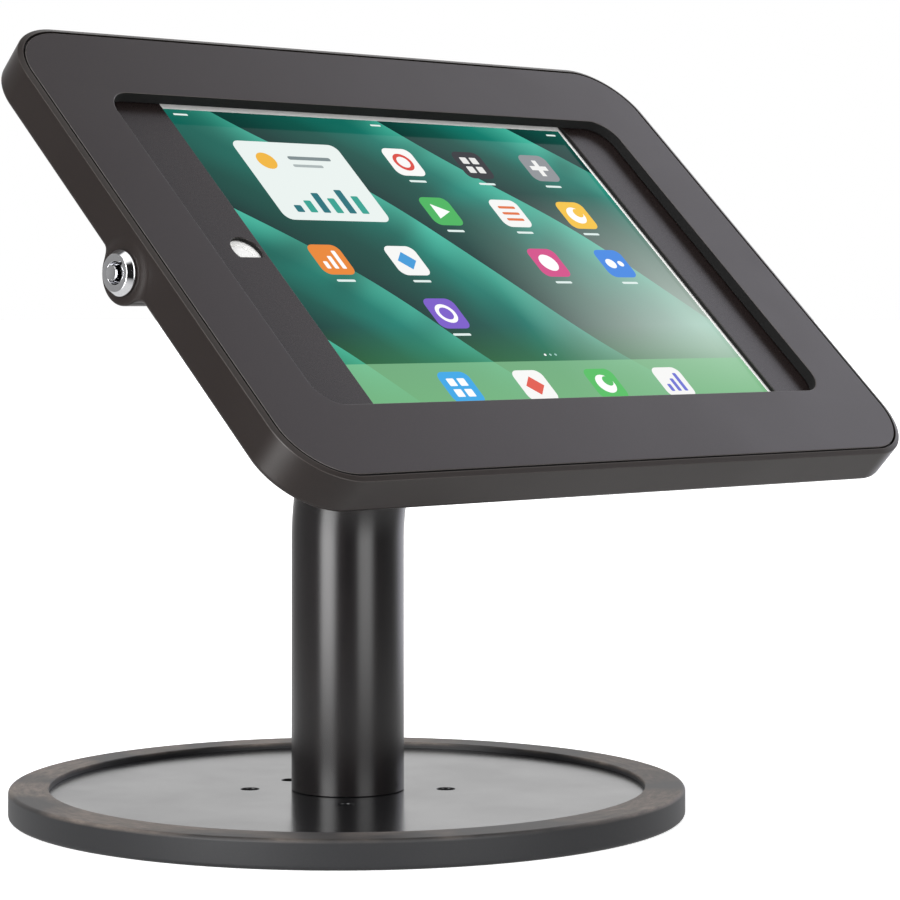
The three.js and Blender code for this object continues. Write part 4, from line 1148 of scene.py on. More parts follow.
def raise_pad(mesh):
    """Raises a low flared pad round the lock: the flat left wall is filled again with rings of
    points between its own edges, and these then move out."""
    body = bmesh.new()
    body.from_mesh(mesh)
    flat = [
        face for face in body.faces
        if all(abs(corner.co.x + TRAY_HALF_WIDTH) < 2 * MERGE for corner in face.verts)
    ]
    loops = edge_loops(flat)
    for loop in loops:
        if sum(a.co.y * b.co.z - b.co.y * a.co.z for a, b in zip(loop, loop[1:] + loop[:1])) < 0:
            loop.reverse()
    bmesh.ops.delete(body, geom=flat, context="FACES")
    edge = [vertex for loop in loops for vertex in loop]
    points = [Vector((vertex.co.y, vertex.co.z - LOCK_AXIS)) for vertex in edge]
    count = len(points)
    starts = [sum(len(loop) for loop in loops[:i]) for i in range(len(loops))]
    shapes = [list(range(start, start + len(loop))) for start, loop in zip(starts, loops)]
    for i in range(PAD_RINGS + 1):
        radius = PAD_FLARE + (PAD_RADIUS - PAD_FLARE) * i / PAD_RINGS
        for x, y in circle(radius, 120)():
            point = Vector((x, y))
            if all((point - other).length > PAD_SPACING for other in points[:count]):
                points.append(point)
    found = delaunay_2d_cdt(points, [], shapes, 1, MERGE)
    vertices = []
    for place, sources in zip(found[0], found[3]):
        known = [edge[i] for i in sources if i < count]
        spot = (-TRAY_HALF_WIDTH, place[0], place[1] + LOCK_AXIS)
        vertices += known[:1] or [body.verts.new(spot)]
    for corners, inside in zip(found[2], found[5]):
        if list(inside) == [0]:
            body.faces.new([vertices[i] for i in corners])
    for vertex in set(vertices):
        if vertex.link_faces:
            across = math.hypot(vertex.co.y, vertex.co.z - LOCK_AXIS)
            vertex.co.x -= pad_height(across)
        else:
            body.verts.remove(vertex)
    for vertex in body.verts:
        behind = vertex.co.x + TRAY_HALF_WIDTH
        if 2 * MERGE < behind < TRAY_BACK_ROUND:
            across = math.hypot(vertex.co.y, vertex.co.z - LOCK_AXIS)
            vertex.co.x -= pad_height(across) * (1 - behind / TRAY_BACK_ROUND)
    bmesh.ops.recalc_face_normals(body, faces=body.faces)
    body.to_mesh(mesh)
    body.free()
    return mesh


def outline_body(levels, steps=28):
    """A body with rounded-rectangle sections: each level is (inset, height)."""
    return solid(drawn(rounded(TRAY_HALF_WIDTH, TRAY_HALF_HEIGHT, TRAY_CORNER, steps), levels))


def tray_mesh():
    """The cast tray: rounded back, flat sides, sloping rim band, ledge, screw posts and boss."""
    soft = RIM_ROUND
    back = edge_levels(TRAY_BACK, 0, TRAY_BACK_ROUND, 0, 8)[:9]
    crease = [
        (0.0, -RIM_SLOPE - soft),
        (soft * 0.12, -RIM_SLOPE - soft * 0.45),
        (soft * 0.45, -RIM_SLOPE * 0.93),
        (soft * 1.2, -RIM_SLOPE * 0.82),
    ]
    rim = [(RIM_WIDTH - soft, -0.1), (RIM_WIDTH - soft * 0.4, -0.02), (RIM_WIDTH, 0.0)]
    shell = outline_body(back + crease + rim)
    rooms = [
        outline_body([(inset, low), (inset, high)])
        for inset, low, high in (
            (RIM_WIDTH, LEDGE_TOP, PAST),
            (RIM_WIDTH + LEDGE_WIDTH, LEDGE_BOTTOM - OVERLAP, LEDGE_TOP + OVERLAP),
            (TRAY_WALL, FLOOR_TOP, LEDGE_BOTTOM),
        )
    ]
    pocket = rod(BOSS_RADIUS - BOSS_WALL, LOCK_WALL_INSIDE, BOSS_POCKET_END, steps=64)
    passage = rod(BARREL_RADIUS + CLEAR, LOCK_WALL_OUTSIDE, LOCK_WALL_INSIDE + PAST, steps=64)
    for form in (pocket, passage):
        form.points = [(z, y, LOCK_AXIS - x) for x, y, z in form.points]
    slots = []
    for side in (-1, 1):
        y = side * HOOK_PLACE
        half = HOOK_WIDTH / 2 + HOOK_GAP
        left = COVER_HALF_WIDTH - HOOK_LENGTH - HOOK_GAP
        slots.append(block(
            rectangle(left, HOOK_RIGHT + CLEAR, y - half, y + half),
            -COVER_THICKNESS - HOOK_DEPTH - HOOK_ROOM, -COVER_THICKNESS + CLEAR,
        ))
    hole_profile = [
        (0, TRAY_BACK - PAST),
        (HUB_SCREW_HOLE, TRAY_BACK - PAST),
        (HUB_SCREW_HOLE, TRAY_BACK),
        (HUB_SCREW_HEAD_HOLE, FLOOR_TOP - CLEAR),
        (HUB_SCREW_HEAD_HOLE, FLOOR_TOP + PAST),
        (0, FLOOR_TOP + PAST),
    ]
    screw_holes = [turned(hole_profile, 40).moved(x, y) for x, y in screw_spots()]
    cable = rod(CABLE_HOLE, TRAY_BACK - PAST, FLOOR_TOP + PAST, steps=96)
    posts = [
        plate(
            circle(SCREW_POST_RADIUS, 40, x, y), [hole(SCREW_POST_BORE, 24, x, y)],
            FLOOR_TOP - OVERLAP, ADAPTER_BOTTOM - CLEAR, 0.25,
        )
        for x, y in adapter_screw_spots()
    ]
    cuts = [*rooms, pocket, passage, *slots, *screw_holes, cable]
    return raise_pad(combined(combined(shell, joins=[boss_form()], cuts=cuts), joins=posts))


def adapter_screw_spots():
    return [(side * SCREW_POST_SIDE, end * SCREW_POST_UP) for side in (-1, 1) for end in (-1, 1)]


def cover_mesh():
    """Front cover: a plate with a deep-edged window and two hooks under its right edge."""
    outline = rounded(COVER_HALF_WIDTH, COVER_HALF_HEIGHT, COVER_CORNER, 28)
    window_sizes = (WINDOW_HALF_WIDTH, WINDOW_HALF_HEIGHT, WINDOW_CORNER)
    window = opening(rounded(*window_sizes, 24))
    lip = rounded(*(size + LIP_THICKNESS for size in window_sizes), 24)
    form = Form()
    outer_levels = edge_levels(-COVER_THICKNESS, 0, LIP_EDGE, COVER_EDGE, 4)
    rings = form.stack(drawn(outline, outer_levels))
    inner_levels = edge_levels(-LIP_DEPTH, 0, LIP_EDGE, WINDOW_EDGE, 4)
    inner = form.stack(drawn(window, inner_levels), inwards=True)
    lip_levels = [(LIP_EDGE, -LIP_DEPTH), (0, -LIP_DEPTH + LIP_EDGE), (0, -COVER_THICKNESS)]
    lip_low, _, lip_high = form.stack(drawn(lip, lip_levels))
    form.cap([rings[-1], inner[-1]], True)
    form.cap([lip_low, inner[0]], False)
    form.cap([rings[0], lip_high], False)
    hooks = []
    for side in (-1, 1):
        low, high = side * HOOK_PLACE - HOOK_WIDTH / 2, side * HOOK_PLACE + HOOK_WIDTH / 2
        for right, top in (
            (HOOK_RIGHT, -COVER_THICKNESS - CLEAR),
            (COVER_HALF_WIDTH, -COVER_THICKNESS + OVERLAP),
        ):
            hook = rectangle(COVER_HALF_WIDTH - HOOK_LENGTH, right, low, high)
            hooks.append(block(hook, -COVER_THICKNESS - HOOK_DEPTH, top))
    return combined(form, joins=hooks)


def button_hole(inset=0.0):
    """A round hole with a straight lower side, which grows by inset."""
    radius = BUTTON_HOLE_RADIUS + inset
    dip = math.asin((BUTTON_HOLE_FLAT + inset) / radius)
    return arc(BUTTON_HOLE_X, BUTTON_HOLE_Y, radius, -dip, math.pi + 2 * dip, 48)


def adapter_mesh(side):
    inner = ADAPTER_LEFT_EDGE if side < 0 else ADAPTER_RIGHT_EDGE
    outer = side * ADAPTER_OUTER
    half = abs(outer - inner) / 2
    outline = rounded(half, ADAPTER_HALF_HEIGHT, ADAPTER_CORNER, 8, (inner + outer) / 2)
    holes = [hole(SCREW_POST_BORE, 32, x, y) for x, y in adapter_screw_spots() if x * side > 0]
    if side < 0:
        holes.append(button_hole)
    top = plate(outline, holes, ADAPTER_BOTTOM, ADAPTER_TOP, ADAPTER_EDGE)
    rib = TABLET_SHIFT + side * (TABLET_HALF_WIDTH + CLEAR)
    feet = []
    for near, far, length in (
        (outer, outer - side * ADAPTER_LEG, ADAPTER_HALF_HEIGHT - ADAPTER_CORNER),
        (rib, rib + side * ADAPTER_LEG, RIB_HALF_HEIGHT),
    ):
        low, high = sorted((near, far))
        leg = rectangle(low, high, -length, length)
        feet.append(block(leg, FLOOR_TOP + CLEAR, ADAPTER_BOTTOM + OVERLAP))
    return combined(top, joins=feet)


# Pieces of the tablet, with x 0 at its own centre


def tablet_outline(inset=0.0, steps=16):
    half_width, half_height = TABLET_HALF_WIDTH - inset, TABLET_HALF_HEIGHT - inset
    return rounded(half_width, half_height, TABLET_CORNER - inset, steps)


def tablet_shell_mesh():
    levels = edge_levels(TABLET_BACK, GLASS_TOP - 0.2, TABLET_BACK_ROUND, 0.2, 8)
    room = [(0, TABLET_BACK + TABLET_WALL), (0, GLASS_TOP + PAST)]
    return combined(
        solid(drawn(tablet_outline(), levels)),
        cuts=[
            solid(drawn(tablet_outline(TABLET_WALL), room)),
            *[side_key(place, KEY_GAP) for place in SIDE_KEYS.values()],
        ],
    )


def side_key(place, grow=0.0):
    """A rounded key in the tablet's edge, or with grow the recess that it moves in."""
    x, y, facing = place
    half_width = KEY_HALF_WIDTH + grow
    outline = rounded(KEY_HALF_LENGTH + grow, half_width, half_width - 0.001, 12)
    edge = 0.25 if grow == 0 else 0.0
    form = plate(outline, [], KEY_STAND - KEY_DEPTH - grow, KEY_STAND + grow, edge, 0.0)
    turn = (
        Matrix.Translation((x, y, (GLASS_BOTTOM + TABLET_BACK) / 2))
        @ Matrix.Rotation(QUARTER + facing, 4, "Z")
        @ Matrix.Rotation(QUARTER, 4, "X")
    )
    form.points = [tuple(turn @ Vector(point)) for point in form.points]
    return form


def button_form():
    """A round button whose face is dished by a tenth of a millimetre."""
    low = GLASS_TOP - BUTTON_HEIGHT
    profile = [(0, low), (BUTTON_RADIUS, low), (BUTTON_RADIUS, GLASS_TOP - 0.15)]
    profile += [(BUTTON_RADIUS - 0.05, GLASS_TOP - 0.04), (BUTTON_RADIUS - 0.2, GLASS_TOP)]
    for share in (0.9, 0.7, 0.5, 0.3):
        profile.append((BUTTON_RADIUS * share, GLASS_TOP - BUTTON_DISH * (1 - share**2)))
    profile.append((0, GLASS_TOP - BUTTON_DISH))
    return turned(profile, 72).moved(BUTTON_X - TABLET_SHIFT, 0)


def bar(x, y, half_width, half_height, radius, steps=5):
    return rounded(half_width, half_height, radius - 0.001, steps, x, y)()


# Plain signs of the tiles, drawn on a tile 10 units wide
SIGNS = {
    "ring": [("disc", 0, 0, 3.1, 28), ("hole", 0, 0, 2.0, 24)],
    "disc": [("disc", 0, 0, 2.9, 28)],
    "bars": [("bar", x, h - 3, 0.65, h, 0.3) for x, h in ((-2.4, 1.2), (0, 2.1), (2.4, 3.0))],
    "rows": [("bar", 0.3, y, 3.0, 0.45, 0.4) for y in (-2.2, 0, 2.2)],
    "triangle": [("shape", (-2, -2.6), (3, 0), (-2, 2.6))],
    "diamond": [("shape", (-3, 0), (0, -3), (3, 0), (0, 3))],
    "plus": [(
        "shape", (-0.8, -3), (0.8, -3), (0.8, -0.8), (3, -0.8), (3, 0.8), (0.8, 0.8),
        (0.8, 3), (-0.8, 3), (-0.8, 0.8), (-3, 0.8), (-3, -0.8), (-0.8, -0.8),
    )],
    "grid": [("bar", x, y, 1.2, 1.2, 0.3) for x in (-1.7, 1.7) for y in (-1.7, 1.7)],
    "moon": [("disc", 0, 0, 3.0, 28), ("hole", 1.3, 0.9, 1.6, 24)],
    "pair": [("disc", -1.4, 0, 1.7, 20), ("disc", 2.2, 0, 1.0, 16)],
}


def sign_outlines(kind, x, y, unit):
    """The outlines of a sign; one that isn't inked shows the tile: (outline, inked)."""
    for form, *sizes in SIGNS[kind]:
        if form == "shape":
            yield [(x + a * unit, y + b * unit) for a, b in sizes], True
            continue
        place = (x + sizes[0] * unit, y + sizes[1] * unit)
        if form == "bar":
            yield bar(*place, *(size * unit for size in sizes[2:])), True
        else:
            yield circle(sizes[2] * unit, sizes[3], *place)(), form == "disc"


def screen_regions():
    """Flat regions of the lit picture, lowest first: (outline, colour or None for wallpaper)."""
    regions = []
    left = -DISPLAY_HALF_WIDTH
    columns = [left + FIRST_COLUMN + i * TILE_STEP for i in range(5)]

    def tile(x, y, colour, ink, kind, name_bar=True):
        regions.append((bar(x, y, TILE / 2, TILE / 2, TILE_ROUND, 6), colour))
        for outline, inked in sign_outlines(kind, x, y, TILE / 10):
            regions.append((outline, ink if inked else colour))
        if name_bar:
            regions.append((bar(x, y - 10.2, 4.2, 0.55, 0.5, 3), "dfeeea"))

    # a card with a day's curve
    card_x, card_y = columns[0] + 17.6, 39.0
    regions.append((bar(card_x, card_y, 24.5, 20.0, 3.6, 6), "e9f1ee"))
    regions.append((circle(4.2, 28, card_x - 14.0, card_y + 10.0)(), "f0b53a"))
    for i, height in enumerate((3.5, 6.0, 10.0, 7.5, 12.0, 9.0)):
        shade = "2fa08f" if i % 2 else "1c6f78"
        place = (card_x - 15.0 + i * 6.0, card_y - 16.0 + height / 2)
        regions.append((bar(*place, 1.7, height / 2, 0.5, 3), shade))
    regions.append((bar(card_x + 7.0, card_y + 12.0, 10.0, 0.9, 0.8, 3), "7d8a8c"))
    regions.append((bar(card_x + 4.0, card_y + 8.0, 7.0, 0.7, 0.6, 3), "a9b3b3"))
    tiles = [
        (2, 0, "f7f7f5", "d9473b", "ring"), (3, 0, "2b2d31", "e8e8e6", "grid"),
        (4, 0, "8d9094", "f0f0ee", "plus"), (2, 1, "46b35a", "ffffff", "triangle"),
        (3, 1, "f4f4f2", "e0713a", "rows"), (4, 1, "f3c23c", "ffffff", "moon"),
        (0, 2, "e8862f", "ffffff", "bars"), (1, 2, "f5f5f3", "3f9ad8", "diamond"),
        (3, 2, "d24a86", "ffffff", "disc"), (4, 2, "3f86e0", "ffffff", "pair"),
        (1, 3, "7a5ac8", "ffffff", "ring"),
    ]
    for column, row, colour, ink, kind in tiles:
        tile(columns[column], TILE_ROWS[row], colour, ink, kind)
    # the pale dock and its tiles
    dock_top = -DISPLAY_HALF_HEIGHT + DOCK_HEIGHT
    low = -DISPLAY_HALF_HEIGHT + 0.2
    regions.append((rectangle(left + 0.2, -left - 0.2, low, dock_top), "dock"))
    dock = [
        ("3aa7e6", "ffffff", "grid"), ("f6f6f4", "e05a4a", "diamond"),
        ("52bd5f", "ffffff", "moon"), ("f4f4f2", "6a6fd0", "bars"),
    ]
    for i, (colour, ink, kind) in enumerate(dock):
        tile(DOCK_START + i * TILE_STEP, -DISPLAY_HALF_HEIGHT + 12.5, colour, ink, kind, False)
    for x, half in ((left + 7.0, 3.2), (0.0, 2.6), (-left - 6.0, 2.6)):
        regions.append((bar(x, DISPLAY_HALF_HEIGHT - 2.6, half, 0.45, 0.4, 3), "e8f2ef"))
    for i in range(3):
        spot = circle(0.55, 12, -2.6 + i * 2.6, dock_top + 3.0)()
        regions.append((spot, "9cc9bf" if i else "ffffff"))
    return regions


def glass_mesh():
    """The tablet's front glass: its face is cut into the print's regions, all in one plane."""
    outline = tablet_outline(TABLET_WALL + CLEAR)
    levels = edge_levels(GLASS_BOTTOM, GLASS_TOP, 0.1, GLASS_EDGE, 3)
    form = Form()
    rings = form.stack(drawn(outline, levels))
    button = hole(BUTTON_RADIUS + CLEAR, 64, BUTTON_X - TABLET_SHIFT)
    button_levels = edge_levels(GLASS_BOTTOM, GLASS_TOP, 0.1, GLASS_HOLE_EDGE, 3)
    button_rings = form.stack(drawn(button, button_levels), inwards=True)
    form.cap([rings[0], button_rings[0]], False)
    side_faces = len(form.faces)

    half_x, half_y = DISPLAY_HALF_WIDTH, DISPLAY_HALF_HEIGHT
    regions = [
        (outline(GLASS_EDGE), "border"),
        (rectangle(-half_x, half_x, -half_y, half_y), None),
        *screen_regions(),
        (button(GLASS_HOLE_EDGE), "gone"),
    ]
    points, loops = [], []
    for shape, _ in regions:
        loops.append(list(range(len(points), len(points) + len(shape))))
        points.extend(Vector(point) for point in shape)
    found = delaunay_2d_cdt(points, [], loops, 1, MERGE)
    flat_points, flat_faces, face_regions = found[0], found[2], found[5]
    start = len(form.points)
    form.points.extend((x, y, GLASS_TOP) for x, y in flat_points)
    kinds = []
    for corners, inside in zip(flat_faces, face_regions):
        if not inside:
            continue
        kind = regions[max(inside)][1]
        if kind == "gone":
            continue
        form.faces.append(tuple(start + i for i in corners))
        kinds.append(kind)
    mesh = bpy.data.meshes.new("glass")
    mesh.from_pydata(form.points, [], form.faces)
    colour = mesh.attributes.new("print", "FLOAT_COLOR", "CORNER")
    lit = mesh.attributes.new("lit", "FLOAT", "FACE")
    colours = []
    glow = []
    for index, face in enumerate(mesh.polygons):
        kind = "border" if index < side_faces else kinds[index - side_faces]
        if kind == "border":
            # the white border's glow is painted light
            shade, light = linear("f5f5f3", 1.0), BORDER_PAINTED_GLOW
        elif kind is None:
            shade, light = (0.0, 0.0, 0.0, 0.0), 1.0
        elif kind == "dock":
            shade, light = linear("8fcf9a", 0.55), 1.0
        else:
            shade, light = linear(kind, 1.0), 1.0
        colours.extend([shade] * face.loop_total)
        glow.append(light)
    colour.data.foreach_set("color", [v for shade in colours for v in shade])
    lit.data.foreach_set("value", glow)
    return welded(mesh, 2 * MERGE)


# Pieces of the lock, turned about its own axis


def lock_housing_mesh():
    profile = softened(
        [
            (KEYWAY_RADIUS, COLLAR_FACE),
            (COLLAR_FACE_RADIUS, COLLAR_FACE),
            (COLLAR_RADIUS, COLLAR_BASE - COLLAR_BAND),
            (COLLAR_RADIUS, COLLAR_BASE),
            (BARREL_RADIUS, COLLAR_BASE),
            (BARREL_RADIUS, BARREL_END),
            (KEYWAY_RADIUS, BARREL_END),
        ],
        COLLAR_ROUND,
        4,
    )
    body = turned(profile, 128)
    reach = -KEYWAY_RADIUS - NOTCH_REACH
    half = NOTCH_WIDTH / 2
    outline = rectangle(reach, 0, -half, half)
    notch = block(outline, COLLAR_FACE - PAST, COLLAR_FACE + KEYWAY_DEPTH)
    return combined(body, cuts=[notch])


def lock_plug_mesh():
    """The plug: a centre pin in the ring-shaped keyway, its pin stack behind, and its tail."""
    shoulder = COLLAR_FACE + KEYWAY_DEPTH
    tip = COLLAR_FACE - PLUG_STAND
    profile = [
        (0, tip),
        (PLUG_PIN - 0.35, tip),
        (PLUG_PIN - 0.1, tip + 0.1),
        (PLUG_PIN, tip + 0.35),
        (PLUG_PIN, shoulder),
        (PLUG_RADIUS, shoulder),
        (PLUG_RADIUS, BARREL_END),
        (TAIL_RADIUS, BARREL_END),
        (TAIL_RADIUS, TAIL_THREAD_START),
        (TAIL_THREAD, TAIL_THREAD_START),
        (TAIL_THREAD, TAIL_END),
        (0, TAIL_END),
    ]
    return turned(profile, 64)


# Screws, made by one rule


def screw_form(kind, length, radius, head_radius, head_height):
    """One screw, its head's top at height 0 and its shank below: a thread, and a drive recess."""
    pitch = 0.9 if radius > 2.2 else 0.7
    profile = [(0, -length), (radius * 0.8, -length)]
    z = -length + 0.3
    while z + pitch < -head_height - 0.2:
        profile += [(radius * 0.84, z), (radius, z + pitch / 2)]
        z += pitch
    profile.append((radius * 0.95, -head_height))
    if kind == "pan":
        profile += [(head_radius, -head_height), (head_radius, -head_height * 0.45)]
        profile += [(head_radius * 0.85, -head_height * 0.15), (head_radius * 0.6, 0.0)]
    else:
        profile += [(head_radius, -0.25), (head_radius, 0.0)]
    profile.append((0, 0.0))
    key = circle(head_radius * (0.42 if kind == "pan" else 0.48), 6)()
    return combined(turned(profile, 48), cuts=[block(key, -head_height * 0.75, PAST)])


def screw_tree():
    """Rule for a set of like screws: one at each point, each turned by its own chance angle."""
    tree, given = new_rule(
        "Screw set", Places="Geometry", Screw="Object", Finish="Material", Seed="Int",
        Lean="Vector",
    )
    unit = add_node(tree, "GeometryNodeObjectInfo", Object=given["Screw"], out="Geometry")
    chance = add_node(
        tree, "FunctionNodeRandomValue", data_type="FLOAT", Seed=given["Seed"], out=1
    )
    chance.node.inputs[2].default_value = 0.0
    chance.node.inputs[3].default_value = TURN
    copies = add_node(
        tree, "GeometryNodeInstanceOnPoints", Points=given["Places"], Instance=unit,
        Rotation=given["Lean"],
    )
    spin = add_node(tree, "CombineXYZ", Z=chance)
    spun = add_node(tree, "GeometryNodeRotateInstances", Instances=copies, Rotation=spin)
    close_tree(tree, spun, given["Finish"])
    return tree


def add_screws(name, unit, points, lean, seed, body, nodes):
    """A set of like screws as one plain mesh on one body."""
    unit.transform(SCALE)
    pattern = add_object("screw", unit)
    places = bpy.data.meshes.new("places")
    places.from_pydata(points, [], [])
    tree = bpy.data.node_groups.get("Screw set") or screw_tree()
    mesh = run_tree(tree, places, Screw=pattern, Finish=MATERIALS["zinc"], Seed=seed, Lean=lean)
    bpy.data.objects.remove(pattern)
    add_piece(name, mesh, Matrix(), body, "zinc_steel", "zinc", *nodes)


# Settings that a user may change


class StandColours(bpy.types.PropertyGroup):
    """Colours of the stand, as sRGB hex values."""

    cover: bpy.props.StringProperty(
        name="Cover", description="Powder coat of the front cover", default="1a1515"
    )
    post: bpy.props.StringProperty(
        name="Post", description="Paint of the bent post", default="161415"
    )
    ring: bpy.props.StringProperty(
        name="Base ring", description="Rubber of the base's ring", default="1b1c1f"
    )


class StandStage(bpy.types.PropertyGroup):
    """Light and lens of the stage."""

    world: bpy.props.FloatProperty(
        name="World light", description="Light from all round", default=1.0, min=0.0
    )
    floor_glow: bpy.props.FloatProperty(
        name="Floor glow", description="Lift that makes the floor white", default=0.62, min=0.0
    )
    key: bpy.props.FloatProperty(
        name="Key light", description="Power of the large soft lamp", default=4.0, min=0.0,
        unit="POWER",
    )
    softboxes: bpy.props.FloatProperty(
        name="Softboxes", description="Brightness of the softbox at either hand of the camera",
        default=SOFTBOX_LEVEL, min=0.0,
    )
    focal_length: bpy.props.FloatProperty(
        name="Focal length", description="Lens of the camera in millimetres", default=125.72,
        min=1.0, unit="CAMERA",
    )


# Operators


class StandOperator:
    """What the stand's operators share."""

    bl_options = {"REGISTER", "UNDO"}

    def execute(self, context):
        self.make(context)
        return {"FINISHED"}


class STAND_OT_base(StandOperator, bpy.types.Operator):
    """Adds the rubber ring, the steel plate and the pad"""

    bl_idname = "stand.base"
    bl_label = "Base"

    def make(self, context):
        add_piece("ring", ring_form(), SCALE, "base", "ring_rubber", "ring", "base_ring")
        add_piece(
            "steel_plate", plate_form(), SCALE, "base", "plate_paint", "plate", "base_plate"
        )
        holes = [hole(BOLT_HOLE, 32, x, y) for x, y in base_hole_places()]
        pad = plate(circle(RING_INNER - PAD_GAP, 160), holes, 0.0, PLATE_BOTTOM - CLEAR, 0.2)
        add_piece("foam_pad", pad, SCALE, "base", "pad_foam", "foam", "base_pad")


class STAND_OT_post(StandOperator, bpy.types.Operator):
    """Adds the bent post, its foot plate and the cable outlet's bush"""

    bl_idname = "stand.post"
    bl_label = "Post"

    def make(self, context):
        tube = run_tree(tube_tree(), line_mesh(post_path()), Finish=MATERIALS["post"])
        add_piece("post", tube, Matrix(), "base", "post_paint", "post", "post_tube")
        add_piece(
            "grommet", grommet_form(), SCALE, "base", "grommet_rubber", "grommet", "cable_grommet"
        )
        dress("zinc", "post_foot_plate")


class STAND_OT_swivel(StandOperator, bpy.types.Operator):
    """Adds the turning hub between the post and the tray"""

    bl_idname = "stand.swivel"
    bl_label = "Swivel"

    def make(self, context):
        washer = washer_form(
            SPINDLE_RADIUS + CLEAR, WASHER_RADIUS, WASHER_BOTTOM, WASHER_BOTTOM + WASHER_THICKNESS,
            WASHER_EDGE,
        )
        spot = spot_on(PIN_CIRCLE, PIN_ANGLE)
        pin = rod(PIN_RADIUS, NECK_BOTTOM + CLEAR, HUB_TOP - CLEAR, *spot)
        rows = [
            ("neck_disc", neck_form(), "base", "hub_paint", "hub", "neck_flange"),
            ("friction_washer", washer, "base", "washer_nylon", "nylon", "swivel_washer"),
            ("hub_disc", hub_form(), "head", "hub_paint", "hub", "hub_plate"),
            ("spindle", spindle_form(), "head", "zinc_steel", "zinc", "swivel_spindle"),
            ("ring_nut", nut_form(), "head", "zinc_steel", "zinc", "swivel_nut"),
            ("limit_pin", pin, "head", "zinc_steel", "zinc", "stop_pin"),
        ]
        for name, form, body, slot, shade, node in rows:
            add_piece(name, form, ON_HEAD, body, slot, shade, node)


class STAND_OT_tray(StandOperator, bpy.types.Operator):
    """Adds the cast tray with its lock boss, and the foam pads on its floor"""

    bl_idname = "stand.tray"
    bl_label = "Tray"

    def make(self, context):
        add_piece("tray", tray_mesh(), ON_HEAD, "head", "tray_paint", "tray", "back_tray")
        dress("foam", *(f"corner_pad_{i + 1}" for i in range(4)))


class STAND_OT_cover(StandOperator, bpy.types.Operator):
    """Adds the front cover and its striker"""

    bl_idname = "stand.cover"
    bl_label = "Cover"

    def make(self, context):
        add_piece(
            "cover_plate", cover_mesh(), ON_HEAD, "cover", "cover_paint", "cover", "front_cover"
        )
        dress("zinc", "striker_bracket", "striker_pin")


class STAND_OT_adapters(StandOperator, bpy.types.Operator):
    """Adds the two adapters that fit the window to the tablet"""

    bl_idname = "stand.adapters"
    bl_label = "Adapters"

    def make(self, context):
        for name, side in (("left", -1), ("right", 1)):
            add_piece(
                f"{name}_border", adapter_mesh(side), ON_HEAD, "head", "adapter_plastic",
                "adapter", f"{name}_adapter",
            )


class STAND_OT_tablet(StandOperator, bpy.types.Operator):
    """Adds the tablet with its lit picture and its buttons"""

    bl_idname = "stand.tablet"
    bl_label = "Tablet"

    def make(self, context):
        for name, form, body, slot, material, node in (
            ("tablet_case", tablet_shell_mesh(), "head", "tablet_metal", "alloy", "tablet_shell"),
            ("printed_glass", glass_mesh(), "head", "front_glass", "screen", "tablet_glass"),
            ("round_button", button_form(), "home_key", "button_white", "button", "home_button"),
        ):
            add_piece(name, form, ON_TABLET, body, slot, material, node)
        for name, place in SIDE_KEYS.items():
            add_piece(
                f"{name}_cap", side_key(place), ON_TABLET, f"{name}_key", "tablet_metal",
                "alloy", f"{name}_button",
            )
        dress("cells", "tablet_core", "display_panel")


class STAND_OT_lock(StandOperator, bpy.types.Operator):
    """Adds the tubular key lock"""

    bl_idname = "stand.lock"
    bl_label = "Lock"

    def make(self, context):
        for name, form, body, node in (
            ("lock_body", lock_housing_mesh(), "head", "lock_housing"),
            ("lock_pin", lock_plug_mesh(), "lock_core", "lock_plug"),
        ):
            add_piece(name, form, ON_LOCK, body, "lock_chrome", "chrome", node)
        dress("zinc", "lock_nut", "lock_cam", "cam_screw")


class STAND_OT_screws(StandOperator, bpy.types.Operator):
    """Adds the screws, each set by one geometry tree"""

    bl_idname = "stand.screws"
    bl_label = "Screws"

    def make(self, context):
        spots = [spot_on(FOOT_SCREW_CIRCLE, QUARTER + TURN * i / 3) for i in range(3)]
        foot = [(x * MM, y * MM, (PLATE_BOTTOM + CLEAR) * MM) for x, y in spots]
        add_screws(
            "foot_screws", screw_form("sunk", *FOOT_SCREW), foot, (math.pi, 0, 0), 3,
            "base", [f"foot_screw_{i + 1}" for i in range(3)],
        )
        hub = [ON_HEAD @ Vector((x, y, FLOOR_TOP - CLEAR)) for x, y in screw_spots()]
        add_screws(
            "hub_screws", screw_form("sunk", *HUB_SCREW), hub, (HEAD_TILT, 0, 0), 5,
            "head", [f"hub_screw_{i + 1}" for i in range(4)],
        )
        clamp = [
            ON_HEAD @ Vector((x, y, ADAPTER_TOP + CLEAR + ADAPTER_SCREW[-1]))
            for x, y in adapter_screw_spots()
        ]
        add_screws(
            "adapter_screws", screw_form("pan", *ADAPTER_SCREW), clamp, (HEAD_TILT, 0, 0), 8,
            "head", [f"adapter_screw_{i + 1}" for i in range(4)],
        )


class STAND_OT_stage(StandOperator, bpy.types.Operator):
    """Adds the floor, the lamps, the world and the camera"""

    bl_idname = "stand.stage"
    bl_label = "Stage"

    def make(self, context):
        scene = context.scene
        stage = scene.stand_stage
        add_floor(stage)
        add_world(scene, stage)
        add_lamps(stage)
        add_camera(scene, stage)
        scene.view_settings.view_transform = "Standard"


def round_levels(tree, direction, levels):
    """Brightness in a level direction, from stops round the stand."""
    away, across = (
        add_node(tree, "VectorMath", direction, axis, operation="DOT_PRODUCT", out="Value")
        for axis in (VIEW_ALONG, VIEW_ACROSS)
    )
    angle = add_node(tree, "Math", across, away, operation="ARCTAN2")
    ramp = add_node(
        tree, "ValToRGB", add_node(tree, "MapRange", angle, -math.pi, math.pi, 0.0, 1.0)
    )
    set_stops(ramp.node.color_ramp, [
        (turn, (level, level, level * (COOL if level > COOL_FROM else 1), 1))
        for turn, level in levels
    ])
    return ramp


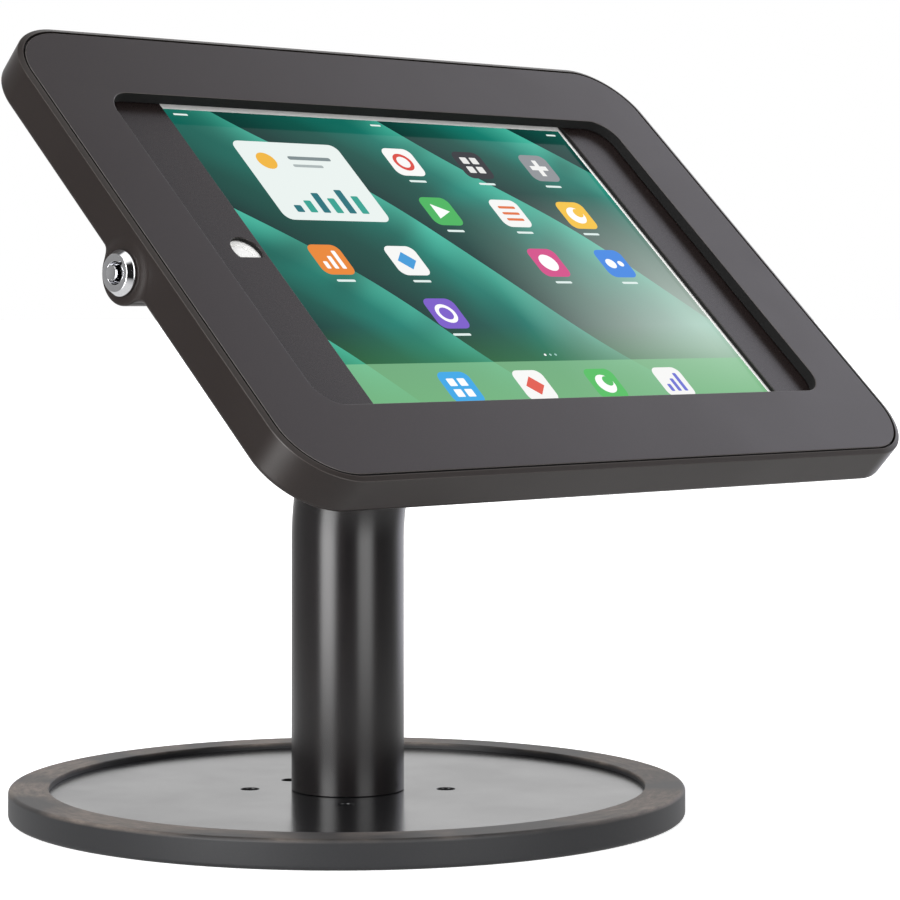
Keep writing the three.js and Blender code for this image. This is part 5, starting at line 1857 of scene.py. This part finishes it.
def studio_level(tree, direction, softboxes):
    """How bright the studio is: white behind the stand as the camera sees it, dimmer at its
    sides, dark on the camera's own side, and there a softbox at either hand."""
    shape = round_levels(tree, direction, SOFTBOX_LEVELS)
    boxes = add_node(tree, "VectorMath", shape, Scale=softboxes, operation="SCALE")
    studio = round_levels(tree, direction, STUDIO_LEVELS)
    return add_node(tree, "VectorMath", studio, boxes, operation="ADD")


def add_floor(stage):
    """A white floor that takes the stand's shadow. Gloss sees the studio's own brightness."""
    mesh = bpy.data.meshes.new("floor")
    corners = rectangle(-FLOOR_REACH, FLOOR_REACH, -FLOOR_REACH, FLOOR_REACH)
    mesh.from_pydata(at_height(corners, 0.0), [], [(0, 1, 2, 3)])
    floor = add_object("floor", mesh)
    material = bpy.data.materials.new("White sweep")
    material.use_nodes = True
    material.cycles.emission_sampling = "NONE"
    tree = material.node_tree
    tree.nodes.clear()
    paper = add_node(tree, "BsdfDiffuse", Color="f5f5f5")
    glow = add_node(tree, "Emission", Strength=stage.floor_glow)
    lit = add_node(tree, "AddShader", paper, glow)
    place = add_node(tree, "NewGeometry", out="Position")
    distance = add_node(tree, "VectorMath", place, operation="LENGTH", out="Value")
    far = add_node(tree, "MapRange", distance, *NEAR_REACH, 0.0, 1.0)
    level = add_node(
        tree, "Mix", far, A_Color=(NEAR_FLOOR,) * 3 + (1,),
        B_Color=studio_level(tree, place, stage.softboxes), **COLOUR_MIX,
    )
    mirrored = add_node(tree, "Emission", Color=level)
    path = add_node(tree, "LightPath", out=None)
    seen = add_node(tree, "MixShader", path["Is Camera Ray"], paper, lit)
    mixed = add_node(tree, "MixShader", path["Is Glossy Ray"], seen, mirrored)
    add_node(tree, "OutputMaterial", Surface=mixed, out=None)
    mesh.materials.append(material)


def add_world(scene, stage):
    """The studio round the stand. The camera itself sees plain white."""
    world = bpy.data.worlds.new("Studio")
    scene.world = world
    world.use_nodes = True
    tree = world.node_tree
    tree.nodes.clear()
    direction = add_node(tree, "TexCoord", out="Generated")
    height = add_node(tree, "SeparateXYZ", direction, out="Z")
    lower = add_node(tree, "MapRange", height, *SOFTBOX_LOW, 1 - SOFTBOX_UPPER, 0.0)
    upper = add_node(tree, "MapRange", height, *SOFTBOX_TOP, SOFTBOX_UPPER, 0.0)
    share = add_node(tree, "Math", lower, upper, operation="ADD")
    boxes = add_node(tree, "Math", share, stage.softboxes, operation="MULTIPLY")
    to_lamp = add_node(
        tree, "VectorMath", direction, TOP_LIGHT, operation="DOT_PRODUCT", out="Value"
    )
    colour = add_node(
        tree, "Mix", add_node(tree, "MapRange", height, *CEILING_FROM, 0.0, 1.0),
        A_Color=studio_level(tree, direction, boxes),
        B_Color=add_node(tree, "MapRange", to_lamp, *TOP_SPREAD, CEILING_LEVEL, TOP_LEVEL),
        **COLOUR_MIX,
    )
    camera_ray = add_node(tree, "LightPath", out="Is Camera Ray")
    light = add_node(tree, "Background", Color=colour, Strength=stage.world)
    white = add_node(tree, "Background", Color="ffffff", Strength=1.0)
    mixed = add_node(tree, "MixShader", camera_ray, light, white)
    add_node(tree, "OutputWorld", Surface=mixed, out=None)


def add_lamps(stage):
    """A large soft key above the camera's side."""
    lamp = bpy.data.lights.new("key", "AREA")
    lamp.shape, lamp.size, lamp.energy = "SQUARE", KEY_SIZE, stage.key
    holder = add_object("key", lamp)
    holder.location = KEY_PLACE
    aim = Vector(KEY_AIM) - Vector(KEY_PLACE)
    holder.rotation_euler = aim.to_track_quat("-Z", "Y").to_euler()


def add_camera(scene, stage):
    """The photograph's viewing angle: a level camera whose lens is shifted down."""
    camera = bpy.data.cameras.new("camera")
    camera.lens = stage.focal_length
    camera.sensor_width = 36.0
    camera.shift_y = CAMERA_SHIFT
    camera.clip_end = 100.0
    holder = add_object("camera", camera)
    holder.location = CAMERA_PLACE
    holder.rotation_euler = (QUARTER, 0.0, -CAMERA_HEADING)
    scene.camera = holder


class STAND_PT_panel(bpy.types.Panel):
    """Lists the stand's pieces in the sidebar"""

    bl_label = "Tablet stand"
    bl_idname = "STAND_PT_panel"
    bl_space_type = "VIEW_3D"
    bl_region_type = "UI"
    bl_category = "Stand"

    def draw(self, context):
        for settings in (context.scene.stand_colours, context.scene.stand_stage):
            for name in settings.__annotations__:
                self.layout.prop(settings, name)
        for operator in OPERATORS:
            self.layout.operator(operator.bl_idname)


OPERATORS = (
    STAND_OT_base,
    STAND_OT_post,
    STAND_OT_swivel,
    STAND_OT_tray,
    STAND_OT_cover,
    STAND_OT_adapters,
    STAND_OT_tablet,
    STAND_OT_lock,
    STAND_OT_screws,
    STAND_OT_stage,
)
CLASSES = (StandColours, StandStage, *OPERATORS, STAND_PT_panel)


def register():
    for item in CLASSES:
        bpy.utils.register_class(item)
    bpy.types.Scene.stand_colours = bpy.props.PointerProperty(type=StandColours)
    bpy.types.Scene.stand_stage = bpy.props.PointerProperty(type=StandStage)


def unregister():
    del bpy.types.Scene.stand_stage
    del bpy.types.Scene.stand_colours
    for item in reversed(CLASSES):
        bpy.utils.unregister_class(item)


def main():
    register()
    MATERIALS.update(make_materials(bpy.context.scene.stand_colours))
    for operator in OPERATORS:
        group, name = operator.bl_idname.split(".")
        getattr(getattr(bpy.ops, group), name)()


if __name__ == "__main__":
    main()
